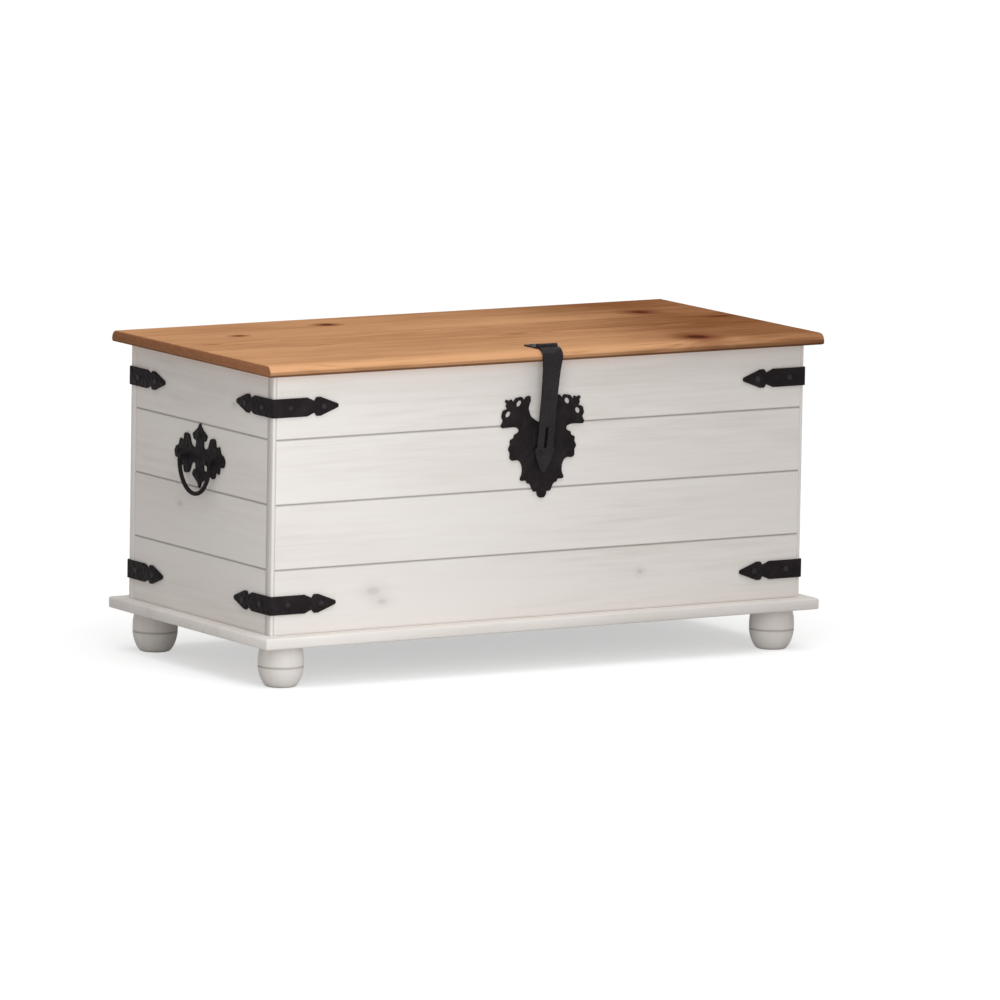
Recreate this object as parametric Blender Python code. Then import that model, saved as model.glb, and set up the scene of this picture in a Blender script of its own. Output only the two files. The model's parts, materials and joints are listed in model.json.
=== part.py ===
"""Blanket chest in whitewashed pine with a honey-coloured lid and black iron fittings.

Rebated corner posts hold walls of tongue-and-groove boards on a rounded base
panel with four bun feet. The lid turns on two hinges behind the back wall. A bent
hasp hinged on the lid drops over a keeper in the pierced escutcheon, and a bail
hangs from ears on each end plate. Metres, +Z up, front towards -Y.
"""

import math

import bmesh
import bpy
from mathutils import Matrix, Vector
from mathutils.geometry import tessellate_polygon

# Clearances
GAP = 0.0003
PIN_CLEARANCE = 0.00005
BAIL_CLEARANCE = 0.0002

# Lid
LID_LENGTH = 0.920
LID_DEPTH = 0.450
LID_TOP_HEIGHT = 0.460
LID_THICKNESS = 0.0166
LID_NOSE_DEPTH = 0.0120
LID_NOSE_DROP = 0.0125
LID_END_ROUND = 0.0030
LID_BOTTOM_ROUND = 0.0026
PANEL_CORNER_RADIUS = 0.0012
END_OVERHANG = 0.0196
FACE_OVERHANG = 0.0233
BATTEN_WIDTH = 0.045
BATTEN_THICKNESS = 0.016
BATTEN_INSET = 0.150
BATTEN_WALL_CLEARANCE = 0.010
BATTEN_CHAMFER = 0.004

# Base panel and feet
BASE_THICKNESS = 0.0162
BASE_ROUND = 0.0026
FOOT_HEIGHT = 0.0589
FOOT_WAIST_HEIGHT = 0.029
FOOT_RADIUS = 0.0325
FOOT_TOP_RADIUS = 0.0283
FOOT_BOTTOM_RADIUS = 0.0195
FOOT_GROOVE_DEPTH = 0.0011
FOOT_GROOVE_WIDTH = 0.0022
FOOT_END_INSET = 0.0507
FOOT_FACE_INSET = 0.0465

# Walls
BOARDS_PER_WALL = 4
BOARD_THICKNESS = 0.010
BOARD_CHAMFER = 0.0014
TONGUE_THICKNESS = 0.004
TONGUE_HEIGHT = 0.005
POST_SECTION = 0.034
POST_FACE_STRIP = 0.0050
POST_END_STRIP = 0.0150
POST_ARRIS = 0.0018

# Corner brackets
BRACKET_THICKNESS = 0.0027
BRACKET_HEIGHT = 0.0265
BRACKET_FACE_STRAP = 0.0535
BRACKET_END_STRAP = 0.049
BRACKET_NECK_HEIGHT = 0.0165
BRACKET_NECK_LENGTH = 0.0117
BRACKET_BARB_SLOPE = 0.0033
BRACKET_BARB_LENGTH = 0.0070
BRACKET_POINT_LENGTH = 0.0270
BRACKET_TIP_HEIGHT = 0.0060
BRACKET_TIP_LENGTH = 0.0016
UPPER_BRACKET_DROP = 0.0635
LOWER_BRACKET_RISE = 0.0426

# Lid hinges
HINGE_END_INSET = 0.1404
HINGE_WIDTH = 0.060
HINGE_KNUCKLE_RADIUS = 0.0035
HINGE_PIN_RADIUS = 0.0015
HINGE_LEAF_THICKNESS = 0.002
HINGE_WALL_LEAF = 0.038
HINGE_LID_LEAF = 0.0165

# Escutcheon and keeper
PLATE_THICKNESS = 0.0025
ESCUTCHEON_DROP = 0.214
LOOP_HOLE_LONG = 0.0052
LOOP_HOLE_SHORT = 0.0036
KEEPER_DROP = 0.1242
KEEPER_ROD_RADIUS = 0.0015
KEEPER_SPAN = 0.0052
KEEPER_REACH = 0.0102

# Hasp
HASP_PIN_SETBACK = 0.014
HASP_WIDTH = 0.0325
HASP_NECK_WIDTH = 0.0285
HASP_NECK_BELOW_BEND = 0.018
HASP_NARROW_WIDTH = 0.0260
HASP_NARROW_BELOW_BEND = 0.055
HASP_THICKNESS = 0.0025
HASP_LEAF_LENGTH = 0.035
HASP_BEND_RADIUS = 0.0120
HASP_EDGE_CLEARANCE = 0.0022
HASP_TIP_DROP = 0.177
HASP_SPADE_WIDTH = 0.0330
HASP_SPADE_LENGTH = 0.033
HASP_SLOT_WIDTH = 0.0048
HASP_SLOT_LENGTH = 0.0315
HASP_SLOT_ABOVE_TIP = 0.035

# End handles
HANDLE_DROP = 0.2015
PIVOT_RISE = 0.0425
BAIL_STANDOFF = 0.0102
BAIL_RADIUS = 0.0031
BAIL_PEG_RADIUS = 0.0022
BAIL_HALF_WIDTH = 0.042
BAIL_DROP = 0.049
BAIL_CORNER_RADIUS = 0.0036
BAIL_PEG_END = 0.031
EAR_CENTRE = 0.0355
EAR_THICKNESS = 0.005
EAR_RADIUS = 0.0048

# Smoothness of round work
ARC_STEP = math.radians(24)
ROUND_SIDES = 24

# Places that follow from the sizes
body_half_length = LID_LENGTH / 2 - END_OVERHANG
body_half_depth = LID_DEPTH / 2 - FACE_OVERHANG
base_bottom = FOOT_HEIGHT + GAP
base_top = base_bottom + BASE_THICKNESS
wall_bottom = base_top + GAP
lid_bottom = LID_TOP_HEIGHT - LID_THICKNESS
wall_top = lid_bottom - GAP
board_pitch = (wall_top - wall_bottom + GAP) / BOARDS_PER_WALL
plate_face = GAP + PLATE_THICKNESS

upper_bracket_z = LID_TOP_HEIGHT - UPPER_BRACKET_DROP
lower_bracket_z = base_top + LOWER_BRACKET_RISE
escutcheon_z = LID_TOP_HEIGHT - ESCUTCHEON_DROP
keeper_z = LID_TOP_HEIGHT - KEEPER_DROP
handle_z = LID_TOP_HEIGHT - HANDLE_DROP
pivot_z = handle_z + PIVOT_RISE

lid_pin_y = body_half_depth + GAP + HINGE_KNUCKLE_RADIUS
lid_pin_z = lid_bottom - GAP - HINGE_KNUCKLE_RADIUS

hasp_pin_y = -LID_DEPTH / 2 + HASP_PIN_SETBACK
hasp_pin_z = LID_TOP_HEIGHT + GAP + HINGE_KNUCKLE_RADIUS
hasp_level_z = LID_TOP_HEIGHT + GAP + HASP_THICKNESS / 2
hasp_tip_z = LID_TOP_HEIGHT - HASP_TIP_DROP
hasp_front_y = -LID_DEPTH / 2 - HASP_EDGE_CLEARANCE - HASP_THICKNESS
centring = (-LID_DEPTH / 2 - hasp_front_y) / 2

FINISHES = {
    "white_pine": ((0.72, 0.69, 0.66), 0.55, 0.0),
    "honey_pine": ((0.55, 0.28, 0.11), 0.42, 0.0),
    "pine": ((0.66, 0.48, 0.28), 0.60, 0.0),
    "black_iron": ((0.022, 0.019, 0.018), 0.58, 0.6),
}


# Scene helpers

def clear_scene():
    for item in list(bpy.data.objects):
        bpy.data.objects.remove(item)


def empty(name, location, parent=None):
    """An axis marker that other pieces hang from."""
    marker = bpy.data.objects.new(name, None)
    marker.empty_display_size = 0.03
    marker.location = location
    marker.parent = parent
    bpy.context.collection.objects.link(marker)
    return marker


def finish(name, look):
    """A material of the piece's own in one of the named finishes."""
    colour, roughness, metallic = FINISHES[look]
    material = bpy.data.materials.new(name)
    material.use_nodes = True
    surface = material.node_tree.nodes["Principled BSDF"]
    surface.inputs["Base Color"].default_value = (*colour, 1.0)
    surface.inputs["Roughness"].default_value = roughness
    surface.inputs["Metallic"].default_value = metallic
    return material


def piece(name, mesh, look, parent, location=(0, 0, 0), rotation=(0, 0, 0)):
    """A named part with its own material, placed under its parent."""
    part = bpy.data.objects.new(name, mesh)
    part.location = location
    part.rotation_euler = rotation
    part.parent = parent
    bpy.context.collection.objects.link(part)
    mesh.name = name
    mesh.materials.clear()
    mesh.materials.append(finish(name, look))
    mesh.shade_smooth()
    mesh.set_sharp_from_angle(angle=math.radians(35))
    return part


# Outline helpers

def turn(point, before, after):
    """The angle an outline turns by at a corner, and its two edges from there."""
    back = Vector(before) - Vector(point)
    ahead = Vector(after) - Vector(point)
    angle = math.pi - back.angle(ahead)
    return angle, back, ahead


def rounded(corners):
    """Points of a closed outline whose corners (x, y, radius) are filleted."""
    points = []
    count = len(corners)
    for index, (x, y, radius) in enumerate(corners):
        before = corners[index - 1][:2]
        after = corners[(index + 1) % count][:2]
        angle, back, ahead = turn((x, y), before, after)
        reach = min(radius * math.tan(angle / 2), back.length * 0.49, ahead.length * 0.49)
        if radius <= 0 or angle < 0.02 or reach < 2e-5:
            points.append((x, y))
            continue
        steps = max(1, round(angle / ARC_STEP))
        start = Vector((x, y)) + back.normalized() * reach
        end = Vector((x, y)) + ahead.normalized() * reach
        bisector = (back.normalized() + ahead.normalized()).normalized()
        true_radius = reach / math.tan(angle / 2)
        centre = Vector((x, y)) + bisector * (true_radius / math.cos(angle / 2))
        first = start - centre
        sweep = first.angle_signed(end - centre)
        for step in range(steps + 1):
            turned = first.copy()
            part_sweep = -sweep * step / steps
            cosine, sine = math.cos(part_sweep), math.sin(part_sweep)
            turned.x = first.x * cosine - first.y * sine
            turned.y = first.x * sine + first.y * cosine
            points.append(tuple(centre + turned))
    return points


def mirrored(half):
    """A whole outline from its right half, both ends of which lie on the middle line."""
    return list(half) + [(-x, y, r) for x, y, r in reversed(half) if abs(x) > 1e-7]


def circle(x, y, radius, sides=ROUND_SIDES, start=0.0):
    angles = [start + 2 * math.pi * k / sides for k in range(sides)]
    return [(x + radius * math.cos(a), y + radius * math.sin(a)) for a in angles]


def leaning_oval(x, y, long_half, short_half, side):
    """An oval whose long axis leans at 45 degrees towards the middle line."""
    points = []
    for along, across in circle(0, 0, 1, 12):
        run, rise = along * long_half, across * short_half
        points.append((x + side * (rise - run) * math.sqrt(0.5), y + (run + rise) * math.sqrt(0.5)))
    return points


def box_outline(x0, x1, y0, y1):
    return [(x0, y0), (x1, y0), (x1, y1), (x0, y1)]


# Solid helpers

def signed_area(loop):
    return 0.5 * sum(
        x0 * y1 - x1 * y0 for (x0, y0), (x1, y1) in zip(loop, loop[1:] + loop[:1])
    )


def prism(loops, low, high):
    """A flat plate: the first loop is its edge, the others are holes through it."""
    loops = [list(loop) for loop in loops]
    for index, loop in enumerate(loops):
        if (signed_area(loop) > 0) != (index == 0):
            loop.reverse()
    flat = [point for loop in loops for point in loop]
    triangles = tessellate_polygon([[Vector((x, y, 0)) for x, y in loop] for loop in loops])
    shape = bmesh.new()
    bottom = [shape.verts.new((x, y, low)) for x, y in flat]
    top = [shape.verts.new((x, y, high)) for x, y in flat]
    for corners in triangles:
        a, b, c = [Vector(flat[k]) for k in corners]
        if (b - a).cross(c - a) < 0:
            corners = corners[::-1]
        shape.faces.new([top[k] for k in corners])
        shape.faces.new([bottom[k] for k in reversed(corners)])
    start = 0
    for loop in loops:
        count = len(loop)
        for k in range(count):
            here, ahead = start + k, start + (k + 1) % count
            shape.faces.new((bottom[here], bottom[ahead], top[ahead], top[here]))
        start += count
    return to_mesh(shape)


def loft(rings, closed_ends=True):
    """Skin equal rings of points in order; each ring runs anticlockwise seen from its far end."""
    shape = bmesh.new()
    skins = [[shape.verts.new(point) for point in ring] for ring in rings]
    for lower, upper in zip(skins, skins[1:]):
        count = len(lower)
        for k in range(count):
            ahead = (k + 1) % count
            shape.faces.new((lower[k], lower[ahead], upper[ahead], upper[k]))
    if closed_ends:
        shape.faces.new(list(reversed(skins[0])))
        shape.faces.new(skins[-1])
    return to_mesh(shape)


def to_mesh(shape):
    bmesh.ops.recalc_face_normals(shape, faces=shape.faces)
    mesh = bpy.data.meshes.new("shape")
    shape.to_mesh(mesh)
    shape.free()
    return mesh


def turned_along_x(mesh):
    """Lay a plate drawn in (Y, Z) on its side, so its thickness runs along +X."""
    mesh.transform(Matrix(((0, 0, 1, 0), (1, 0, 0, 0), (0, 1, 0, 0), (0, 0, 0, 1))))
    return mesh


def slab(profile):
    """A panel with (half length, half depth, height) rings, bottom to top."""
    radius = PANEL_CORNER_RADIUS
    rings = []
    for half_x, half_y, height in profile:
        ring = []
        for quarter in range(4):
            middle_x = (half_x - radius) * (1 if quarter in (0, 3) else -1)
            middle_y = (half_y - radius) * (1 if quarter in (0, 1) else -1)
            for step in range(3):
                angle = math.pi / 2 * (quarter + step / 2)
                x = middle_x + radius * math.cos(angle)
                ring.append((x, middle_y + radius * math.sin(angle), height))
        rings.append(ring)
    return loft(rings)


def eased(depth, drop, share):
    """How far a rounded arris stands in and down at a share of its quarter turn."""
    angle = math.pi / 2 * share
    return depth * (1 - math.cos(angle)), drop * (1 - math.sin(angle))


def tube(stations, sides=10):
    """A round bar in the YZ plane along ((y, z), (direction y, z), radius) stations."""
    rings = []
    for (y, z), (dy, dz), radius in stations:
        length = math.hypot(dy, dz)
        ring = []
        for k in range(sides):
            angle = 2 * math.pi * (k + 0.5) / sides
            across = radius * math.sin(angle) / length
            ring.append((radius * math.cos(angle), y - dz * across, z + dy * across))
        rings.append(ring)
    return loft(rings)


def cylinder_x(radius, start, end, sides=ROUND_SIDES):
    return turned_along_x(prism([circle(0, 0, radius, sides, math.pi / sides)], start, end))


def combine(base, additions=(), cuts=()):
    """One solid from a base mesh, the meshes fused to it and those cut from it."""
    holder = bpy.data.objects.new("work", base)
    bpy.context.collection.objects.link(holder)
    tools = []
    for meshes, operation in ((additions, "UNION"), (cuts, "DIFFERENCE")):
        for mesh in meshes:
            tool = bpy.data.objects.new("tool", mesh)
            tool.hide_render = True
            tool.display_type = "WIRE"
            bpy.context.collection.objects.link(tool)
            step = holder.modifiers.new("step", "BOOLEAN")
            step.operation = operation
            step.solver = "EXACT"
            step.object = tool
            tools.append(tool)
    graph = bpy.context.evaluated_depsgraph_get()
    result = bpy.data.meshes.new_from_object(holder.evaluated_get(graph))
    for item in [holder, *tools]:
        bpy.data.objects.remove(item)
    return result


# Walls: tongue-and-groove boards between rebated corner posts

def board_section(has_groove, has_tongue):
    """Outline in (distance in from the outer face, height) of one board."""
    height = board_pitch - GAP
    lower_cut = BOARD_CHAMFER if has_groove else 0.0
    upper_cut = BOARD_CHAMFER if has_tongue else 0.0
    middle = BOARD_THICKNESS / 2
    tongue = TONGUE_THICKNESS / 2
    socket = tongue + GAP
    outline = [(lower_cut, 0.0)]
    if has_groove:
        depth = TONGUE_HEIGHT + GAP
        outline += [(middle - socket, 0.0), (middle - socket, depth)]
        outline += [(middle + socket, depth), (middle + socket, 0.0)]
    outline += [(BOARD_THICKNESS, 0.0), (BOARD_THICKNESS, height)]
    if has_tongue:
        top = height + TONGUE_HEIGHT
        outline += [(middle + tongue, height), (middle + tongue, top)]
        outline += [(middle - tongue, top), (middle - tongue, height)]
    outline.append((upper_cut, height))
    if upper_cut:
        outline.append((0.0, height - upper_cut))
    if lower_cut:
        outline.append((0.0, lower_cut))
    return outline


def build_wall(name, face_distance, half_span, facing):
    """Four boards whose outer face lies face_distance from the chest's middle."""
    for index in range(BOARDS_PER_WALL):
        section = board_section(index > 0, index < BOARDS_PER_WALL - 1)
        mesh = turned_along_x(prism([section], -half_span, half_span))
        height = wall_bottom + index * board_pitch
        outward = Vector((math.sin(facing), -math.cos(facing), 0))
        place = outward * face_distance
        place.z = height
        piece(f"{name}_board_{index + 1}", mesh, "white_pine", chest, place, (0, 0, facing))


def post_section():
    """The front left post in plan: outer corner at the origin, rebates for both walls."""
    rebate = BOARD_THICKNESS + GAP
    return rounded([
        (0.0, 0.0, POST_ARRIS),
        (POST_FACE_STRIP, 0.0, 0),
        (POST_FACE_STRIP, rebate, 0),
        (POST_SECTION, rebate, 0),
        (POST_SECTION, POST_SECTION, 0),
        (rebate, POST_SECTION, 0),
        (rebate, POST_END_STRIP, 0),
        (0.0, POST_END_STRIP, 0),
    ])


def build_posts():
    for end, x_sign in (("left", -1), ("right", 1)):
        for face, y_sign in (("front", -1), ("back", 1)):
            outline = [
                (x_sign * (body_half_length - x), y_sign * (body_half_depth - y))
                for x, y in post_section()
            ]
            mesh = prism([outline], wall_bottom, wall_top)
            piece(f"{face}_{end}_post", mesh, "white_pine", chest)


# Base panel and turned feet

def foot_profile():
    """(radius, height) from the middle of the sole round the bun to its top."""
    points = [(0.0, 0.0)]
    groove = FOOT_GROOVE_WIDTH / 2
    for k in range(6):
        height = (FOOT_WAIST_HEIGHT - groove) * (k / 5) ** 1.5
        drop = 1 - height / FOOT_WAIST_HEIGHT
        swell = max(0.0, 1 - drop ** 1.6) ** 0.625
        points.append((FOOT_BOTTOM_RADIUS + (FOOT_RADIUS - FOOT_BOTTOM_RADIUS) * swell, height))
    points.append((FOOT_RADIUS - FOOT_GROOVE_DEPTH, FOOT_WAIST_HEIGHT))
    rise = FOOT_HEIGHT - FOOT_WAIST_HEIGHT
    for k in range(6):
        height = FOOT_WAIST_HEIGHT + groove + (rise - groove) * k / 5
        swell = 1 - ((height - FOOT_WAIST_HEIGHT) / rise) ** 3
        points.append((FOOT_TOP_RADIUS + (FOOT_RADIUS - FOOT_TOP_RADIUS) * swell, height))
    points.append((0.0, FOOT_HEIGHT))
    return points


def turned_solid(profile, sides):
    """Spin a profile round Z; its first and last points lie on the axis."""
    rings = []
    for radius, height in profile[1:-1]:
        rings.append([(x, y, height) for x, y in circle(0, 0, radius, sides)])
    return loft(rings)


def base_profile():
    rings = []
    for turned_under in (True, False):
        for k in range(4):
            share = 1 - k / 3 if turned_under else k / 3
            inset, drop = eased(BASE_ROUND, BASE_ROUND, share)
            height = drop if turned_under else BASE_THICKNESS - drop
            rings.append((LID_LENGTH / 2 - inset, LID_DEPTH / 2 - inset, height))
    return rings


def build_base():
    mesh = slab(base_profile())
    piece("base_panel", mesh, "white_pine", chest, (0, 0, base_bottom))
    foot_x = LID_LENGTH / 2 - FOOT_END_INSET
    foot_y = LID_DEPTH / 2 - FOOT_FACE_INSET
    for end, x in (("left", -foot_x), ("right", foot_x)):
        for face, y in (("front", -foot_y), ("back", foot_y)):
            mesh = turned_solid(foot_profile(), 28)
            piece(f"{face}_{end}_foot", mesh, "white_pine", chest, (x, y, 0))


# Lid: a rounded panel stiffened by two battens under it

def lid_profile():
    """Rings of the lid: eased below, a broad nose along both sides, square ends."""
    rings = []
    for k in range(4):
        inset, drop = eased(LID_BOTTOM_ROUND, LID_BOTTOM_ROUND, 1 - k / 3)
        rings.append((LID_LENGTH / 2 - inset, LID_DEPTH / 2 - inset, drop))
    steps = 8
    for k in range(steps + 1):
        nose, drop = eased(LID_NOSE_DEPTH, LID_NOSE_DROP, k / steps)
        below = min(drop, LID_END_ROUND)
        end = LID_END_ROUND - math.sqrt(LID_END_ROUND ** 2 - (LID_END_ROUND - below) ** 2)
        rings.append((LID_LENGTH / 2 - end, LID_DEPTH / 2 - nose, LID_THICKNESS - drop))
    return rings


def build_lid():
    mesh = slab(lid_profile())
    piece("lid_panel", mesh, "honey_pine", lid, (0, -lid_pin_y, lid_bottom - lid_pin_z))
    half = body_half_depth - BOARD_THICKNESS - BATTEN_WALL_CLEARANCE
    section = [
        (-half, 0.0),
        (half, 0.0),
        (half, -BATTEN_THICKNESS + BATTEN_CHAMFER),
        (half - BATTEN_CHAMFER, -BATTEN_THICKNESS),
        (-half + BATTEN_CHAMFER, -BATTEN_THICKNESS),
        (-half, -BATTEN_THICKNESS + BATTEN_CHAMFER),
    ]
    batten_x = body_half_length - BATTEN_INSET
    for name, x in (("left", -batten_x), ("right", batten_x)):
        mesh = turned_along_x(prism([section], -BATTEN_WIDTH / 2, BATTEN_WIDTH / 2))
        place = (x, -lid_pin_y, lid_bottom - GAP - lid_pin_z)
        piece(f"{name}_lid_batten", mesh, "pine", lid, place)


# Hinges: knuckles turn on a pin along X; a leaf reaches out along +Y

def knuckle_spans(width):
    """The two outer knuckles and the middle one, with a running gap between."""
    third = width / 3
    inner = third / 2
    outer = [(-width / 2, -inner - GAP), (inner + GAP, width / 2)]
    return outer, [(-inner, inner)]


def knuckle(span, thickness, side):
    """One knuckle with its bore and a neck that leaves it flush with the leaf's outer face."""
    radius = HINGE_KNUCKLE_RADIUS
    root = radius + GAP + thickness / 2
    inner = radius - thickness
    first_angle = -math.asin(inner / radius)
    sweep = 1.5 * math.pi - first_angle
    outline = [(root, -inner)]
    for k in range(ROUND_SIDES):
        angle = first_angle + sweep * k / (ROUND_SIDES - 1)
        outline.append((radius * math.cos(angle), radius * math.sin(angle)))
    outline.append((root, -radius))
    bore = circle(0, 0, HINGE_PIN_RADIUS + PIN_CLEARANCE, ROUND_SIDES, math.pi / ROUND_SIDES)
    if side > 0:
        outline = [(y, -z) for y, z in outline]
    return turned_along_x(prism([outline, bore], *span))


def hinge_leaf(width, length, thickness, spans, side):
    """A leaf on the lower (side -1) or upper (side 1) edge of its knuckles."""
    near, far = HINGE_KNUCKLE_RADIUS - thickness, HINGE_KNUCKLE_RADIUS
    low, high = (near, far) if side > 0 else (-far, -near)
    plan = box_outline(-width / 2, width / 2, HINGE_KNUCKLE_RADIUS + GAP, length)
    knuckles = [knuckle(span, thickness, side) for span in spans]
    return combine(prism([plan], low, high), knuckles)


def build_lid_hinges():
    outer, middle = knuckle_spans(HINGE_WIDTH)
    hinge_x = body_half_length - HINGE_END_INSET
    for name, x in (("left", -hinge_x), ("right", hinge_x)):
        wall_leaf = hinge_leaf(HINGE_WIDTH, HINGE_WALL_LEAF, HINGE_LEAF_THICKNESS, outer, -1)
        place = (x, lid_pin_y, lid_pin_z)
        turned = (math.radians(-90), 0, 0)
        piece(f"{name}_hinge_wall_leaf", wall_leaf, "black_iron", chest, place, turned)
        lid_leaf = hinge_leaf(HINGE_WIDTH, HINGE_LID_LEAF, HINGE_LEAF_THICKNESS, middle, 1)
        piece(f"{name}_hinge_lid_leaf", lid_leaf, "black_iron", lid, (x, 0, 0))
        pin = cylinder_x(HINGE_PIN_RADIUS, -HINGE_WIDTH / 2 - GAP, HINGE_WIDTH / 2 + GAP)
        piece(f"{name}_hinge_pin", pin, "black_iron", chest, place)


# Corner brackets: an iron strap with arrow ends bent round each post

def bracket_stations(strap_length):
    """(distance from the corner, half height) along one arm to its arrow tip."""
    strap, neck, tip = BRACKET_HEIGHT / 2, BRACKET_NECK_HEIGHT / 2, BRACKET_TIP_HEIGHT / 2
    steps = [
        (0.0, strap),
        (BRACKET_NECK_LENGTH, neck),
        (BRACKET_BARB_SLOPE, strap),
        (BRACKET_BARB_LENGTH, strap),
        (BRACKET_POINT_LENGTH, tip),
        (BRACKET_TIP_LENGTH, tip * 0.55),
    ]
    stations = []
    along = strap_length
    for length, half in steps:
        along += length
        stations.append((along, half))
    return stations


def bracket_mesh(x_sign, y_sign):
    """Both arms and the bend, wrapped round the post at the chest's given corner."""
    inner_radius = POST_ARRIS + GAP
    stations = []
    for along, half in reversed(bracket_stations(BRACKET_END_STRAP)):
        stations.append(((0.0, along), (-1.0, 0.0), half))
    for k in range(5):
        angle = math.pi + math.pi / 2 * k / 4
        normal = (math.cos(angle), math.sin(angle))
        centre = (POST_ARRIS, POST_ARRIS)
        stations.append((centre, normal, BRACKET_HEIGHT / 2))
    for along, half in bracket_stations(BRACKET_FACE_STRAP):
        stations.append(((along, 0.0), (0.0, -1.0), half))
    rings = []
    for (x, y), (nx, ny), half in stations:
        at_bend = (x, y) == (POST_ARRIS, POST_ARRIS)
        near = inner_radius if at_bend else GAP
        far = near + BRACKET_THICKNESS
        ring = []
        for distance, height in ((near, -half), (far, -half), (far, half), (near, half)):
            px = x_sign * (body_half_length - (x + nx * distance))
            py = y_sign * (body_half_depth - (y + ny * distance))
            ring.append((px, py, height))
        rings.append(ring)
    return loft(rings)


def build_brackets():
    for end, x_sign in (("left", -1), ("right", 1)):
        for face, y_sign in (("front", -1), ("back", 1)):
            for level, z in (("upper", upper_bracket_z), ("lower", lower_bracket_z)):
                mesh = bracket_mesh(x_sign, y_sign)
                name = f"{face}_{end}_{level}_bracket"
                piece(name, mesh, "black_iron", chest, (0, 0, z))


# Escutcheon: a scalloped plate with two pierced, winged heads

ESCUTCHEON_HALF = [
    (0.0, 0.0, 0),
    (0.0038, 0.0003, 0.0040),
    (0.0070, 0.0036, 0.0040),
    (0.0080, 0.0090, 0.0006),
    (0.0142, 0.0096, 0.0020),
    (0.0182, 0.0185, 0.0020),
    (0.0205, 0.0210, 0.0006),
    (0.0240, 0.0215, 0.0012),
    (0.0262, 0.0258, 0.0008),
    (0.0345, 0.0258, 0.0012),
    (0.0362, 0.0284, 0.0010),
    (0.0335, 0.0340, 0.0030),
    (0.0318, 0.0420, 0.0120),
    (0.0352, 0.0525, 0.0080),
    (0.0408, 0.0560, 0.0040),
    (0.0500, 0.0553, 0.0030),
    (0.0536, 0.0585, 0.0030),
    (0.0532, 0.0665, 0.0006),
    (0.0564, 0.0718, 0.0030),
    (0.0530, 0.0785, 0.0006),
    (0.0540, 0.0850, 0.0030),
    (0.0478, 0.0872, 0.0006),
    (0.0464, 0.0922, 0.0015),
    (0.0410, 0.0945, 0.0010),
    (0.0386, 0.0975, 0.0020),
    (0.0402, 0.1012, 0.0030),
    (0.0470, 0.1034, 0.0100),
    (0.0668, 0.1028, 0.0010),
    (0.0690, 0.1062, 0.0010),
    (0.0655, 0.1130, 0.0010),
    (0.0684, 0.1190, 0.0040),
    (0.0662, 0.1276, 0.0040),
    (0.0588, 0.1296, 0.0008),
    (0.0612, 0.1340, 0.0008),
    (0.0600, 0.1372, 0.0006),
    (0.0624, 0.1400, 0.0012),
    (0.0610, 0.1434, 0.0012),
    (0.0570, 0.1412, 0.0006),
    (0.0520, 0.1432, 0.0012),
    (0.0495, 0.1385, 0.0006),
    (0.0454, 0.1444, 0.0030),
    (0.0350, 0.1460, 0.0030),
    (0.0318, 0.1412, 0.0005),
    (0.0280, 0.1456, 0.0020),
    (0.0215, 0.1472, 0.0022),
    (0.0204, 0.1402, 0.0020),
    (0.0244, 0.1300, 0.0080),
    (0.0205, 0.1175, 0.0100),
    (0.0110, 0.1105, 0.0080),
    (0.0, 0.1065, 0),
]
LOOP_HOLES = [(0.0578, 0.1220), (0.0400, 0.1366)]


def build_escutcheon():
    outline = rounded(mirrored(ESCUTCHEON_HALF))
    holes = []
    for x, z in LOOP_HOLES:
        for side in (-1, 1):
            holes.append(leaning_oval(side * x, z, LOOP_HOLE_LONG, LOOP_HOLE_SHORT, side))
    mesh = prism([outline, *holes], GAP, plate_face)
    place = (0, -body_half_depth, escutcheon_z)
    piece("escutcheon", mesh, "black_iron", chest, place, (math.radians(90), 0, 0))


def build_keeper():
    """A low rod staple on the plate that the hasp's slot drops over."""
    half = KEEPER_SPAN / 2
    seat = plate_face + GAP
    round_start = KEEPER_REACH - KEEPER_ROD_RADIUS - half
    rod = KEEPER_ROD_RADIUS
    stations = [((-seat, half), (-1, 0), rod)]
    for k in range(7):
        angle = math.pi / 2 + math.pi * k / 6
        y, z = half * math.cos(angle), half * math.sin(angle)
        stations.append(((y - round_start, z), (-z, y), rod))
    stations.append(((-seat, -half), (1, 0), rod))
    mesh = tube(stations)
    place = (0, -body_half_depth, keeper_z)
    piece("hasp_keeper", mesh, "black_iron", chest, place)


# Hasp: a leaf and pin on the lid, and a strap bent down over the lid's edge

def hasp_path():
    """Middle line of the strap as (y, z, direction) from the pin to the tip."""
    lean_face = -body_half_depth - plate_face - GAP - HASP_THICKNESS / 2
    bend_y = hasp_front_y + HASP_THICKNESS / 2 + HASP_BEND_RADIUS
    bend_z = hasp_level_z - HASP_BEND_RADIUS
    reach_y, reach_z = lean_face - bend_y, hasp_tip_z - bend_z
    distance = math.hypot(reach_y, reach_z)
    lean = math.atan2(reach_y, -reach_z) + math.asin(HASP_BEND_RADIUS / distance)
    stations = [(hasp_pin_y, hasp_level_z, (-1.0, 0.0))]
    steps = 8
    for k in range(steps + 1):
        angle = math.pi / 2 + (math.pi / 2 + lean) * k / steps
        across = (math.cos(angle), math.sin(angle))
        y = bend_y + HASP_BEND_RADIUS * across[0]
        z = bend_z + HASP_BEND_RADIUS * across[1]
        stations.append((y, z, (-across[1], across[0])))
    return stations, (lean_face, hasp_tip_z), lean


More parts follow.
